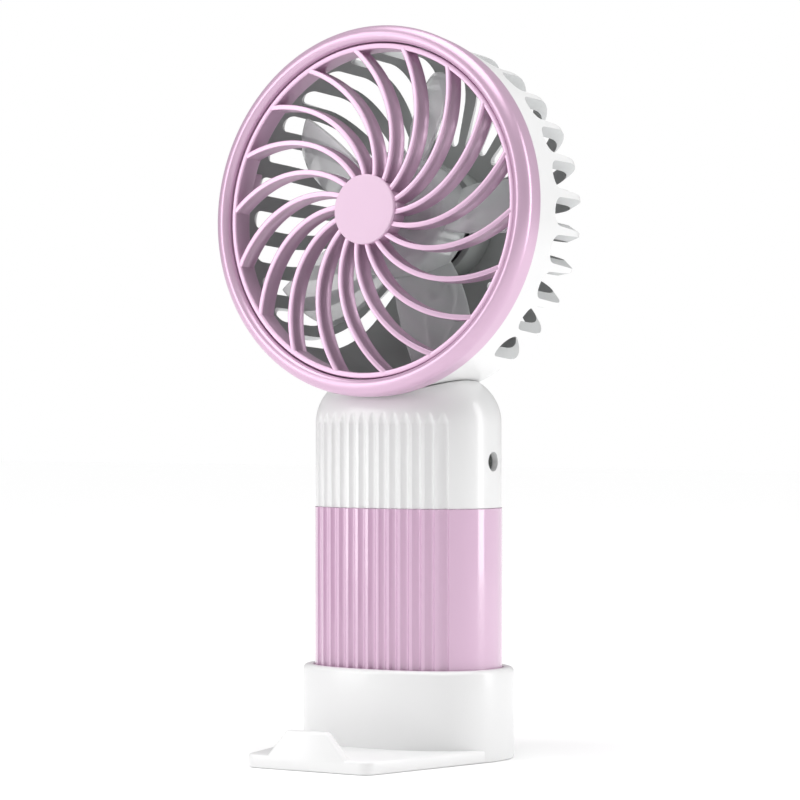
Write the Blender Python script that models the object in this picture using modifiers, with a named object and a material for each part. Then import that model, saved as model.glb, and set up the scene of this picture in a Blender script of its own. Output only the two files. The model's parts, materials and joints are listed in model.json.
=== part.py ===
"""A hand-held electric fan standing in its phone-stand base.

World frame: metres, +Z up, the fan looks along -Y, and the strap hole is on +X. The origin is on
the underside of the stand, straight below the handle. Every number below is in millimetres and is
turned into metres where a mesh is made.

Head frame: an empty on the fan's spin axis, with X to the right, Y up and Z towards the front,
so that every piece of the head is drawn as it looks from the front and is turned about Z.
"""

import math

import bmesh
import bpy
from mathutils import Matrix, Vector

MM = 0.001

# Head: radii from the spin axis and heights along it
HEAD_HEIGHT = 132.5  # the spin axis above the table, over the handle's middle
HEAD_TILT = 3.7  # degrees that the face looks upwards
TRIM_RADIUS = 45.3
TRIM_INNER = 41.2
TRIM_FRONT = 19.2
TRIM_BACK = 12.3
SHELL_RADIUS = 43.7
SHELL_WALL = 2.5
SHELL_FRONT = 12.0
SHELL_CORNER = 13.8
SHELL_BACK = -19.4
SLOT_COUNT = 24
SLOT_PITCH = 11.95  # degrees; the lowest sector stays solid
SLOT_INSIDE_FRONT = 7.4
SLOT_INSIDE_WIDTH = 4.6
SLOT_OUTSIDE_FRONT = 3.0
SLOT_OUTSIDE_WIDTH = 6.8
SLOT_NOSE = 20.0  # radius at which the slots end on the back
SLOT_NOSE_WIDTH = 2.2
BOSS_DROP = 18.0
RING_RADIUS = 40.9
RING_WALL = 1.4
RING_FRONT = 17.3
RING_BACK = 11.7
CLIP_BACK = 8.8
CLIP_HALF = 2.9
CLIP_TURN = 78.0  # degrees, the first of four clips
VANE_COUNT = 18
VANE_START = 14.9  # degrees, where the first vane leaves the hub
VANE_SWEEP = 44.0  # degrees from hub to rim
VANE_THICK = 1.2
VANE_DEPTH = 5.5
VANE_RISE = 2.3  # how far the vanes dome forward at the hub
HUB_RADIUS = 9.5
HUB_FRONT = 18.9
HUB_BACK = 14.4
CAP_RADIUS = 8.55
CAP_FRONT = 20.2
PEG_RADIUS = 2.4
BLADE_COUNT = 5
BLADE_TIP = 36.8
BLADE_FIRST = 5.0  # degrees
BLADE_THICK = 1.1
BLADE_MIDDLE = 2.3  # height of the blades' mid line
WHEEL_HUB = 15.6
WHEEL_FRONT = 10.5
MOTOR_RADIUS = 12.2
SHAFT_RADIUS = 1.0
BUSH_RADIUS = 2.6
GAP = 0.3  # between neighbouring pieces

# Handle: a rounded oval, |x/a|^n + |y/b|^n = 1
OVAL_POWER = 2.4
HANDLE_A = 24.05
HANDLE_B = 16.2
HANDLE_BOTTOM = 3.5
SPLIT = 61.5  # where the white housing meets the coloured sleeve
SHOULDER = 82.0
SHOULDER_RADIUS = 12.0
CEILING = 86.3
INNER_SHOULDER = 6.3
HOUSING_WALL = 2.0
SLEEVE_PROUD = 0.2
SLEEVE_BOTTOM = 6.1
SLEEVE_INNER_A = 22.0
SLEEVE_INNER_B = 14.15
FLUTE_COUNT = 13
FLUTE_PITCH = 2.98
FLUTE_WIDTH = 2.0
FLUTE_DEPTH = 0.75
FLUTE_TOP = 84.6
STRAP_HEIGHT = 72.6
STRAP_Y = 1.0
STRAP_BORE = 2.4

# Back of the handle
BUTTON_HEIGHT = 76.7
BUTTON_RADIUS = 4.6
LAMP_HEIGHT = 69.2
PORT_HEIGHT = 64.8
BOARD_FRONT = 8.4
BOARD_BACK = 9.6

# Screw places
NECK_SCREW_X = 5.4
POST_X = 13.0
POST_Y = -5.5
BOARD_SCREW_X = 7.5
BOARD_SCREW_Z = 50.0
BASE_SCREW_X = 19.1

# Stand
CUP_A = 27.0
CUP_B = 19.1
CUP_HEIGHT = 22.3
CUP_FLOOR = 3.2
CUP_BORE_A = 24.6
CUP_BORE_B = 16.75
TRAY_FRONT = -45.0
TRAY_HALF = 18.0
TRAY_THICK = 3.25
TRAY_CORNER = 3.5
LIP_TOP = 9.5
LIP_HALF_BOTTOM = 11.2
LIP_HALF_TOP = 5.7
LIP_THICK = 2.5


# ---------------------------------------------------------------- tools


def clear_scene():
    for thing in list(bpy.data.objects):
        bpy.data.objects.remove(thing)


def new_collection(name):
    made = bpy.data.collections.new(name)
    bpy.context.scene.collection.children.link(made)
    return made


def finish(name, colour, roughness, metallic=0.0, alpha=1.0):
    """A plain material: colour, roughness and metal."""
    made = bpy.data.materials.new(name)
    made.use_nodes = True
    shader = made.node_tree.nodes["Principled BSDF"]
    shader.inputs["Base Color"].default_value = (*colour, 1.0)
    shader.inputs["Roughness"].default_value = roughness
    shader.inputs["Metallic"].default_value = metallic
    shader.inputs["Alpha"].default_value = alpha
    return made


def add_piece(name, mesh, material, parent=None, helper=False):
    """Put a mesh in the scene, as a part or, when helper is set, as a hidden cutter."""
    mesh.shade_smooth()
    mesh.set_sharp_from_angle(angle=math.radians(35))
    piece = bpy.data.objects.new(name, mesh)
    if material:
        mesh.materials.append(material)
    piece.parent = parent
    (HELPERS if helper else PARTS).objects.link(piece)
    if helper:
        piece.hide_render = True
        piece.display_type = "WIRE"
    return piece


def mesh_of(name, bm):
    """Write a bmesh drawn in millimetres to a mesh in metres, with its faces pointing out."""
    bmesh.ops.recalc_face_normals(bm, faces=bm.faces)
    bmesh.ops.scale(bm, vec=(MM, MM, MM), verts=bm.verts)
    mesh = bpy.data.meshes.new(name)
    bm.to_mesh(mesh)
    bm.free()
    return mesh


def boolean(piece, other, operation="DIFFERENCE"):
    """Cut or join with one helper, or with every object of a helper collection."""
    step = piece.modifiers.new(operation.title(), "BOOLEAN")
    step.operation = operation
    step.solver = "EXACT"
    if isinstance(other, bpy.types.Collection):
        step.operand_type = "COLLECTION"
        step.collection = other
    else:
        step.object = other


def turned(name, profile, material, steps=48, parent=None, helper=False, place=None):
    """Turn (radius, height) points about Z; the outline runs down its outer side.

    An outline that starts and ends on the axis stays open there, any other is closed.
    """
    points = [(radius * MM, 0.0, height * MM) for radius, height in profile]
    edges = [(i, i + 1) for i in range(len(points) - 1)]
    if profile[0][0] > 0:
        edges.append((len(points) - 1, 0))
    mesh = bpy.data.meshes.new(name)
    mesh.from_pydata(points, edges, [])
    piece = add_piece(name, mesh, material, parent, helper)
    if place:
        piece.matrix_local = place
    screw = piece.modifiers.new("Screw", "SCREW")
    screw.axis = "Z"
    screw.steps = steps
    screw.render_steps = steps
    screw.use_merge_vertices = True
    screw.merge_threshold = 0.00001
    return piece


def box(name, low, high, material=None, parent=None, helper=False, bevel=0.0):
    """A box between two corners, its edges rounded when bevel is given."""
    low, high = Vector(low), Vector(high)
    bm = bmesh.new()
    bmesh.ops.create_cube(bm, size=1.0)
    bmesh.ops.scale(bm, vec=high - low, verts=bm.verts)
    bmesh.ops.translate(bm, vec=(low + high) / 2, verts=bm.verts)
    piece = add_piece(name, mesh_of(name, bm), material, parent, helper)
    if bevel:
        edge = piece.modifiers.new("Bevel", "BEVEL")
        edge.width = bevel * MM
        edge.segments = 2
    return piece


def rod(name, radius, start, end, sides=24, parent=None):
    """A plain cylinder between two points, used to cut a hole or to join a post."""
    start, end = Vector(start), Vector(end)
    bm = bmesh.new()
    bmesh.ops.create_cone(
        bm, cap_ends=True, segments=sides, radius1=radius, radius2=radius, depth=(end - start).length
    )
    turn = (end - start).to_track_quat("Z", "Y").to_matrix().to_4x4()
    bmesh.ops.transform(bm, matrix=Matrix.Translation((start + end) / 2) @ turn, verts=bm.verts)
    return add_piece(name, mesh_of(name, bm), None, parent, helper=True)


def slab(name, outline, low, high, material=None, parent=None, helper=False):
    """A flat outline in XY, pulled up from low to high."""
    bm = bmesh.new()
    base = bm.faces.new([bm.verts.new((x, y, low)) for x, y in outline])
    pulled = bmesh.ops.extrude_face_region(bm, geom=[base])
    top = [part for part in pulled["geom"] if isinstance(part, bmesh.types.BMVert)]
    bmesh.ops.translate(bm, vec=(0, 0, high - low), verts=top)
    return add_piece(name, mesh_of(name, bm), material, parent, helper)


def pull_through(bm, sections):
    """Pull a closed section through a row of equally numbered ones, leaving only its two ends."""
    face = bm.faces.new([bm.verts.new(point) for point in sections[0]])
    for i, section in enumerate(sections[1:]):
        pulled = bmesh.ops.extrude_face_region(bm, geom=[face])
        moved = next(part for part in pulled["geom"] if isinstance(part, bmesh.types.BMFace))
        for vert, point in zip(moved.verts, section):
            vert.co = point
        if i > 0 and face.is_valid:
            bmesh.ops.delete(bm, geom=[face], context="FACES_ONLY")
        face = moved


def loft(name, sections, material=None, parent=None, helper=False):
    """A closed solid through a row of sections."""
    bm = bmesh.new()
    pull_through(bm, sections)
    return add_piece(name, mesh_of(name, bm), material, parent, helper)


def wire(name, route, radius, material):
    """A lead: a smooth curve through the route's own points, drawn as a thin tube."""
    fine = []
    for i in range(len(route) - 1):
        before, start = Vector(route[max(i - 1, 0)]), Vector(route[i])
        end, after = Vector(route[i + 1]), Vector(route[min(i + 2, len(route) - 1)])
        for step in range(2):
            t = step / 2
            pull = (end - before) * t + (2 * before - 5 * start + 4 * end - after) * t**2
            fine.append(start + 0.5 * (pull + (3 * start - before - 3 * end + after) * t**3))
    fine.append(Vector(route[-1]))
    curve = bpy.data.curves.new(name, "CURVE")
    curve.dimensions = "3D"
    curve.bevel_depth = radius * MM
    curve.bevel_resolution = 1
    curve.use_fill_caps = True
    curve.materials.append(material)
    line = curve.splines.new("POLY")
    line.points.add(len(fine) - 1)
    for point, place in zip(line.points, fine):
        point.co = (*(place * MM), 1.0)
    PARTS.objects.link(bpy.data.objects.new(name, curve))


def pan_screw(name, seat, direction, length, material):
    """A small pan-head screw whose head rests on seat and whose shank runs along direction."""
    profile = [(0, 1.1), (1.2, 1.1), (1.8, 0.6), (1.8, 0.0), (0.85, 0.0), (0.85, 0.8 - length), (0, -length)]
    turn = (-Vector(direction)).to_track_quat("Z", "Y").to_matrix().to_4x4()
    place = Matrix.Translation(Vector(seat) * MM) @ turn
    turned(name, profile, material, steps=12, place=place)


# ---------------------------------------------------------------- outlines


def arc(centre, radius, start, end, steps):
    """Points on an arc, with its angles in degrees."""
    angles = [math.radians(start + (end - start) * i / steps) for i in range(steps + 1)]
    return [(centre[0] + radius * math.cos(t), centre[1] + radius * math.sin(t)) for t in angles]


def oval_depth(x, a, b):
    """How deep the rounded oval reaches at x."""
    return b * max(0.0, 1 - abs(x / a) ** OVAL_POWER) ** (1 / OVAL_POWER)


def oval(a, b, steps=32):
    """The rounded oval as an outline, counter-clockwise from +X."""
    points = []
    for i in range(steps):
        t = math.tau * i / steps
        c, s = math.cos(t), math.sin(t)
        points.append(
            (
                math.copysign(abs(c) ** (2 / OVAL_POWER), c) * a,
                math.copysign(abs(s) ** (2 / OVAL_POWER), s) * b,
            )
        )
    return points


def fluted_oval(a, b, depth, both_sides):
    """The rounded oval with flutes of the given depth along its front, or front and back."""
    half_row = (FLUTE_COUNT - 1) / 2 * FLUTE_PITCH + FLUTE_WIDTH / 2
    shrink = a / HANDLE_A
    start = math.degrees(math.acos((half_row / HANDLE_A) ** (OVAL_POWER / 2)))
    front = []
    for i in range(FLUTE_COUNT):
        middle = (i - (FLUTE_COUNT - 1) / 2) * FLUTE_PITCH
        for offset, sunk in ((-FLUTE_WIDTH / 2, 0.0), (0.0, depth), (FLUTE_WIDTH / 2, 0.0)):
            x = (middle + offset) * shrink
            front.append((x, -oval_depth(x, a, b) + sunk))
    side = []
    for i in range(1, 8):
        t = math.radians(-start + 2 * start * i / 8)
        c, s = math.cos(t), math.sin(t)
        power = 2 / OVAL_POWER
        side.append((a * c**power, math.copysign(abs(s) ** power, s) * b))
    if both_sides:
        back = [(-x, -y) for x, y in front]
    else:
        back = [(-x, oval_depth(x, a, b)) for x, _ in front[::3]]
    return front + side + back + [(-x, -y) for x, y in side]


def raised(outline, height):
    return [(x, y, height) for x, y in outline]


def head_point(x, y, z):
    """A place given in the head frame, in world millimetres."""
    turn = Matrix.Rotation(math.radians(90 - HEAD_TILT), 3, "X")
    return Vector((0, 0, HEAD_HEIGHT)) + turn @ Vector((x, y, z))


# ---------------------------------------------------------------- head


def make_trim_ring():
    """The rounded coloured bezel round the front of the head."""
    outer = arc((TRIM_RADIUS - 3.0, TRIM_FRONT - 3.0), 3.0, 90, 0, 4)
    inner = arc((TRIM_INNER + 1.6, TRIM_FRONT - 1.6), 1.6, 180, 90, 2)
    profile = outer + [(TRIM_RADIUS - 0.3, TRIM_BACK), (TRIM_INNER, TRIM_BACK)] + inner
    turned("trim_ring", profile[:-1], PINK, steps=48, parent=HEAD)


def vane_sections(turn):
    """Sections of one curved vane, from the hub out to the ring."""
    sections = []
    inner, outer = HUB_RADIUS - 0.5, RING_RADIUS - RING_WALL / 2
    for i in range(7):
        share = i / 6
        radius = inner + (outer - inner) * share
        angle = math.radians(VANE_START + turn + VANE_SWEEP * share)
        front = RING_FRONT + VANE_RISE * (1 - (radius / RING_RADIUS) ** 3) - 0.15
        slope = math.radians(VANE_SWEEP) * radius / (outer - inner)
        across = Vector((-slope, 1, 0)).normalized() * VANE_THICK / 2
        across = Matrix.Rotation(angle, 3, "Z") @ across
        middle = Vector((radius * math.cos(angle), radius * math.sin(angle), 0))
        up, down = Vector((0, 0, front)), Vector((0, 0, front - VANE_DEPTH + 0.3))
        sections.append(
            [middle - across + down, middle + across + down, middle + across + up, middle - across + up]
        )
    return sections


def make_vane_grille():
    """The spiral grille: a thin ring with a skirt and four clips, a hub, and curved vanes."""
    back, front, inner = RING_BACK, RING_FRONT, RING_RADIUS - RING_WALL
    profile = [(RING_RADIUS - 0.3, front), (RING_RADIUS, front - 0.4), (RING_RADIUS, back), (inner, back)]
    grille = turned("vane_grille", profile + [(inner, front - 0.3)], PINK, steps=48, parent=HEAD)
    joined = bpy.data.collections.new("grille_joins")
    HELPERS.children.link(joined)
    socket = PEG_RADIUS + GAP
    profile = [(0, HUB_BACK + 1.2), (socket, HUB_BACK + 1.2), (socket, HUB_FRONT)]
    profile += [(HUB_RADIUS, HUB_FRONT), (HUB_RADIUS, HUB_BACK), (0, HUB_BACK)]
    joins = [turned("grille_hub", profile, None, steps=28, parent=HEAD, helper=True)]
    for i in range(VANE_COUNT):
        sections = vane_sections(360 / VANE_COUNT * i)
        joins.append(loft(f"vane_{i:02d}", sections, parent=HEAD, helper=True))
    for i in range(4):
        clip = box(
            f"grille_clip_{i}",
            (inner + 0.1, -CLIP_HALF, CLIP_BACK),
            (RING_RADIUS - 0.5, CLIP_HALF, back + 1),
            parent=HEAD,
            helper=True,
        )
        clip.rotation_euler.z = math.radians(CLIP_TURN + 90 * i)
        joins.append(clip)
    for join in joins:
        HELPERS.objects.unlink(join)
        joined.objects.link(join)
    boolean(grille, joined, "UNION")


def make_hub_cap():
    """The flat round cap, with a peg that plugs into the grille's hub."""
    back = HUB_FRONT + GAP
    tip = HUB_BACK + 1.2 + GAP
    profile = [
        (0, CAP_FRONT),
        (CAP_RADIUS - 0.3, CAP_FRONT),
        (CAP_RADIUS, CAP_FRONT - 0.3),
        (CAP_RADIUS, back),
        (PEG_RADIUS, back),
        (PEG_RADIUS, tip),
        (0, tip),
    ]
    turned("hub_cap", profile, PALE_PINK, steps=28, parent=HEAD)


def slot_angles():
    """Directions of the air slots, spread evenly about straight up."""
    return [90 + SLOT_PITCH * (i - (SLOT_COUNT - 1) / 2) for i in range(SLOT_COUNT)]


def slot_section(radius, half, half_below, front, turn):
    """One section of a slot cutter: a flat bar with a rounded front end, wider towards the back."""
    side = [(half_below, SHELL_BACK - 0.8), (half, SHELL_BACK + SHELL_WALL), (half, front - 0.45 * half)]
    side += [(0.84 * half, front - 0.12 * half), (0.5 * half, front)]
    outline = side + [(-y, z) for y, z in reversed(side)]
    return [turn @ Vector((radius, y, z)) for y, z in outline]


def make_slot_cutters():
    """One cutter for each air slot, flared outwards so that the ribs are thinner outside."""
    inside = SHELL_RADIUS - SHELL_WALL
    reach = SHELL_RADIUS + 1.3
    past = (reach - inside) / SHELL_WALL
    half_in, half_nose = SLOT_INSIDE_WIDTH / 2, SLOT_NOSE_WIDTH / 2
    half_out = half_in + (SLOT_OUTSIDE_WIDTH / 2 - half_in) * past
    front_out = SLOT_INSIDE_FRONT + (SLOT_OUTSIDE_FRONT - SLOT_INSIDE_FRONT) * past
    bm = bmesh.new()
    for angle in slot_angles():
        turn = Matrix.Rotation(math.radians(angle), 3, "Z")
        rings = [
            slot_section(SLOT_NOSE, half_nose * 0.5, half_nose * 0.8, -9.0, turn),
            slot_section(SLOT_NOSE + 0.8, half_nose, half_nose * 1.4, -9.0, turn),
            slot_section(inside, half_in, half_in * 1.4, SLOT_INSIDE_FRONT, turn),
            slot_section(reach, half_out, half_out * 1.05, front_out, turn),
        ]
        pull_through(bm, rings)
    return add_piece("slot_cutters", mesh_of("slot_cutters", bm), None, HEAD, helper=True)


def make_rear_shell():
    """The deep white shell: side band, slotted dome, motor cup, screw boss and neck."""
    inner = SHELL_RADIUS - SHELL_WALL
    centre = (SHELL_RADIUS - SHELL_CORNER, SHELL_BACK + SHELL_CORNER)
    floor = SHELL_BACK + SHELL_WALL
    profile = [(0, floor)] + arc(centre, SHELL_CORNER - SHELL_WALL, -90, 0, 4)
    profile += [(inner, SHELL_FRONT), (SHELL_RADIUS, SHELL_FRONT)]
    profile += arc(centre, SHELL_CORNER, 0, -90, 5) + [(0, SHELL_BACK)]
    shell = turned("rear_shell", profile, WHITE, steps=60, parent=HEAD)
    cup = [(0, -16.5), (12.6, -16.5), (12.6, -9.0), (14.2, -9.0), (14.2, floor - 0.5), (0, floor - 0.5)]
    boolean(shell, turned("motor_cup", cup, None, 28, HEAD, helper=True), "UNION")
    boss = rod("screw_boss", 3.6, (0, -BOSS_DROP, floor - 0.5), (0, -BOSS_DROP, -12.5), parent=HEAD)
    boolean(shell, boss, "UNION")
    boolean(shell, box("neck_block", (-8, -5, CEILING), (8, 5, 91.0), helper=True), "UNION")
    boolean(shell, make_slot_cutters())
    boss_hole = rod("boss_hole", 1.15, (0, -BOSS_DROP, floor + 0.8), (0, -BOSS_DROP, -11), 12, HEAD)
    boolean(shell, boss_hole)
    boolean(shell, box("cup_notch", (-5.5, -15, -15.9), (5.5, -10.5, -8), parent=HEAD, helper=True))
    boolean(shell, rod("neck_wire_hole", 2.2, (0, 0, 84), (0, 0, 93), 16))
    for side in (-1, 1):
        x = side * NECK_SCREW_X
        boolean(shell, rod(f"neck_pilot_{side}", 1.1, (x, 0, 84), (x, 0, 90.3), 12))


def make_motor():
    """A small flat motor: can, end cap, magnet ring, two bushes, armature and shaft."""
    radius, wall, front, back = MOTOR_RADIUS, 0.8, -3.4, -14.2
    seat = BUSH_RADIUS + GAP
    can = [(seat, -1.9), (seat + 1, -1.9), (seat + 1, front), (radius - 0.5, front), (radius, front - 0.5)]
    can += [(radius, back), (radius - wall, back), (radius - wall, front - wall), (seat, front - wall)]
    turned("motor_can", can, STEEL, 28, HEAD)
    cap = [(0, -15.4), (seat, -15.4), (seat, -12.6), (seat + 1.3, -12.6), (seat + 1.3, -14.5)]
    cap += [(radius, -14.5), (radius, -16.2), (0, -16.2)]
    turned("motor_end_cap", cap, BLACK_PLASTIC, 28, HEAD)
    magnet = [(radius - wall - GAP, -5.0), (radius - wall - GAP, -13.0), (9.6, -13.0), (9.6, -5.0)]
    turned("motor_magnet", magnet, FERRITE, 28, HEAD)
    bore = SHAFT_RADIUS + 0.1
    for name, high, low in (("front_bush", -2.0, -4.4), ("rear_bush", -12.8, -15.1)):
        profile = [(BUSH_RADIUS, high), (BUSH_RADIUS, low), (bore, low), (bore, high)]
        turned(name, profile, BRONZE, 16, HEAD)
    core = [(9.2, -6.0), (9.2, -11.5), (3.0, -11.5), (3.0, -12.4), (bore, -12.4), (bore, -6.0)]
    turned("motor_armature", core, STEEL, 24, HEAD)
    shaft = [(0, 8.0), (SHAFT_RADIUS, 7.7), (SHAFT_RADIUS, -14.7), (0, -15.0)]
    turned("motor_shaft", shaft, STEEL, 16, HEAD)


def make_impeller():
    """Five broad twisted blades on a cup-shaped hub that is pressed on the shaft."""
    bore = SHAFT_RADIUS + 0.1
    rim, front = WHEEL_HUB, WHEEL_FRONT
    hub = [(0, front), (rim - 3.0, front - 0.4), (rim - 1.0, front - 1.3), (rim, front - 3.2), (rim, -2.6)]
    hub += [(rim - 1.4, -2.6), (rim - 1.4, front - 2.6), (3.2, front - 2.0), (3.2, -0.9), (bore, -0.9)]
    hub += [(bore, front - 2.2), (0, front - 2.2)]
    impeller = turned("impeller", hub, CLEAR, 30, HEAD)
    blades = bpy.data.collections.new("impeller_blades")
    HELPERS.children.link(blades)
    for i in range(BLADE_COUNT):
        blade = make_blade(f"blade_{i}", BLADE_FIRST + 360 / BLADE_COUNT * i)
        HELPERS.objects.unlink(blade)
        blades.objects.link(blade)
    boolean(impeller, blades, "UNION")


def make_blade(name, turn):
    """One blade: a flat grid bent round the hub, pitched steeply, and given a thickness."""
    root = WHEEL_HUB - 0.8
    bm = bmesh.new()
    bmesh.ops.create_grid(bm, x_segments=6, y_segments=5, size=1.0)
    for vert in bm.verts:
        out, chord = (vert.co.x + 1) / 2, vert.co.y
        half_angle = 22 - 12 * out
        trim = 1 - 0.08 * max(0.0, chord) ** 2 * out**3
        radius = root + (BLADE_TIP - root) * out * trim
        angle = math.radians(turn + half_angle * chord + 2 - 4 * out)
        rise = (0.4 * out - 5.2) * chord + 0.7 * (1 - chord**2)
        vert.co = (radius * math.cos(angle), radius * math.sin(angle), BLADE_MIDDLE + rise)
    blade = add_piece(name, mesh_of(name, bm), None, HEAD, helper=True)
    solid = blade.modifiers.new("Solidify", "SOLIDIFY")
    solid.thickness = BLADE_THICK * MM
    solid.offset = 0
    return blade


# ---------------------------------------------------------------- handle


def housing_section(height):
    """The white housing's outer section: fluted below, drawn in over the shoulders above."""
    climb = max(0.0, height - SHOULDER) / SHOULDER_RADIUS
    inset = SHOULDER_RADIUS * (1 - math.sqrt(max(0.0, 1 - climb**2)))
    share = min(1.0, max(0.0, (FLUTE_TOP - height) / 3.0))
    outline = fluted_oval(HANDLE_A - inset, HANDLE_B - inset, FLUTE_DEPTH * share, both_sides=False)
    return raised(outline, height)


def shoulder_heights(low, radius, steps):
    return [low + radius * math.sin(math.radians(90 * i / steps)) for i in range(1, steps + 1)]


def make_head_clearance():
    """The head's outer shape with its gap, which hollows a saddle in the housing's crown."""
    profile = [(0, 22), (TRIM_RADIUS + GAP, 22), (TRIM_RADIUS + GAP, SHELL_FRONT)]
    profile += [(SHELL_RADIUS + GAP, SHELL_FRONT - 0.2), (SHELL_RADIUS + GAP, SHELL_BACK), (0, SHELL_BACK)]
    return turned("head_clearance", profile, None, steps=48, parent=HEAD, helper=True)


def make_upper_housing():
    """The white upper handle: fluted front, round shoulders, strap hole and inner posts."""
    heights = [SPLIT, FLUTE_TOP - 3.0, FLUTE_TOP] + shoulder_heights(SHOULDER, SHOULDER_RADIUS, 5)
    housing = loft("upper_housing", [housing_section(h) for h in sorted(heights)], WHITE)
    spigot = slab("spigot", oval(21.7, 13.85), 57.0, SPLIT + 1, helper=True)
    boolean(housing, spigot, "UNION")
    rooms = [(56.0, 19.9, 12.05), (SPLIT + 0.4, 19.9, 12.05)]
    rooms += [(64.0, HANDLE_A - HOUSING_WALL, HANDLE_B - HOUSING_WALL)]
    start = CEILING - INNER_SHOULDER
    for height in [start] + shoulder_heights(start, INNER_SHOULDER, 3):
        climb = (height - start) / INNER_SHOULDER
        inset = HOUSING_WALL + INNER_SHOULDER * (1 - math.sqrt(max(0.0, 1 - climb**2)))
        rooms.append((height, HANDLE_A - inset, HANDLE_B - inset))
    room = loft("housing_room", [raised(oval(a, b), h) for h, a, b in rooms], helper=True)
    boolean(housing, room)
    tube = rod("strap_tube", STRAP_BORE + 1.2, (-23, STRAP_Y, STRAP_HEIGHT), (23, STRAP_Y, STRAP_HEIGHT), 16)
    boolean(housing, tube, "UNION")
    for side in (-1, 1):
        x = side * POST_X
        boolean(housing, rod(f"post_{side}", 2.4, (x, POST_Y, 54.3), (x, POST_Y, 88), 16), "UNION")
    boolean(housing, make_head_clearance())
    boolean(housing, box("crown_hole", (-8.3, -5.3, 80), (8.3, 5.3, 92), helper=True))
    ends = (-30, STRAP_Y, STRAP_HEIGHT), (30, STRAP_Y, STRAP_HEIGHT)
    boolean(housing, rod("strap_bore", STRAP_BORE, *ends, 20))
    for side in (-1, 1):
        x = side * POST_X
        boolean(housing, rod(f"post_pilot_{side}", 1.1, (x, POST_Y, 53), (x, POST_Y, 64), 12))
    hole = rod("button_hole", BUTTON_RADIUS + GAP, (0, 11, BUTTON_HEIGHT), (0, 20, BUTTON_HEIGHT), 32)
    boolean(housing, hole)
    boolean(housing, rod("lamp_hole", 1.7, (0, 11, LAMP_HEIGHT), (0, 20, LAMP_HEIGHT), 16))
    boolean(housing, port_prism("port_hole", 4.8, 1.95, 11, 20, helper=True))


def make_grip_sleeve():
    """The glossy coloured sleeve, fluted on the front and the back, open at both ends."""
    outline = fluted_oval(HANDLE_A + SLEEVE_PROUD, HANDLE_B + SLEEVE_PROUD, FLUTE_DEPTH, both_sides=True)
    sleeve = slab("grip_sleeve", outline, SLEEVE_BOTTOM, SPLIT - GAP, GLOSS_PINK)
    inside = oval(SLEEVE_INNER_A, SLEEVE_INNER_B)
    boolean(sleeve, slab("sleeve_room", inside, SLEEVE_BOTTOM - 1, SPLIT + 1, helper=True))


def make_bottom_cap():
    """The plate that closes the sleeve, with a raised plug and two screw holes."""
    steps = [(HANDLE_BOTTOM, 0.8), (HANDLE_BOTTOM + 0.8, 0.0), (SLEEVE_BOTTOM - GAP, 0.0)]
    steps += [(SLEEVE_BOTTOM - GAP + 0.01, 2.35), (7.2, 2.35)]
    sections = [raised(oval(HANDLE_A - inset, HANDLE_B - inset), height) for height, inset in steps]
    cap = loft("bottom_cap", sections, WHITE)
    for side in (-1, 1):
        x = side * BASE_SCREW_X
        boolean(cap, rod(f"cap_hole_{side}", 1.2, (x, 0, 2), (x, 0, 9), 12))
        boolean(cap, rod(f"cap_counterbore_{side}", 2.2, (x, 0, 2), (x, 0, 5.3), 16))


def make_chassis():
    """The inner frame: a tray for the cell, ears for the base screws and posts for the board."""
    chassis = box("chassis", (-17, -7.5, 7.6), (17, 5.8, 54.0), WHITE)
    boolean(chassis, box("cell_pocket", (-15.4, -9, 9.1), (15.4, 4.3, 52.3), helper=True))
    boolean(chassis, box("lead_notch", (-5, -9, 51), (5, 1.5, 56), helper=True))
    for side in (-1, 1):
        low, high = sorted((side * 16.5, side * 21.2))
        ear = box(f"chassis_ear_{side}", (low, -2.6, 7.6), (high, 2.6, 18.0), helper=True)
        boolean(chassis, ear, "UNION")
        x = side * BOARD_SCREW_X
        post = rod(f"board_post_{side}", 2.0, (x, 5.0, BOARD_SCREW_Z), (x, 8.1, BOARD_SCREW_Z), 12)
        boolean(chassis, post, "UNION")
        pilot = rod(f"board_pilot_{side}", 1.05, (x, 3.5, BOARD_SCREW_Z), (x, 9, BOARD_SCREW_Z), 12)
        boolean(chassis, pilot)
        x = side * BASE_SCREW_X
        boolean(chassis, rod(f"ear_pilot_{side}", 1.1, (x, 0, 6), (x, 0, 16.5), 12))
        x = side * POST_X
        boolean(chassis, rod(f"shelf_hole_{side}", 1.2, (x, POST_Y, 51), (x, POST_Y, 56), 12))


def make_neck_retainer():
    """The plate under the crown that holds the head's neck down."""
    plate = box("neck_retainer", (-10, -6.8, CEILING - GAP - 1.9), (10, 6.8, CEILING - GAP), STEEL)
    boolean(plate, rod("retainer_wire_hole", 2.2, (0, 0, 82), (0, 0, 88), 16))
    for side in (-1, 1):
        x = side * NECK_SCREW_X
        boolean(plate, rod(f"retainer_hole_{side}", 1.2, (x, 0, 82), (x, 0, 88), 12))


def port_prism(name, half_wide, half_high, front, back, material=None, helper=False):
    """A round-ended outline of the charging socket, running along Y."""
    flat = half_wide - half_high
    outline = arc((flat, 0), half_high, -90, 90, 6) + arc((-flat, 0), half_high, 90, 270, 6)
    piece = slab(name, outline, -back, -front, material, helper=helper)
    piece.matrix_world = Matrix.Translation((0, 0, PORT_HEIGHT * MM)) @ Matrix.Rotation(math.pi / 2, 4, "X")
    return piece


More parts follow.
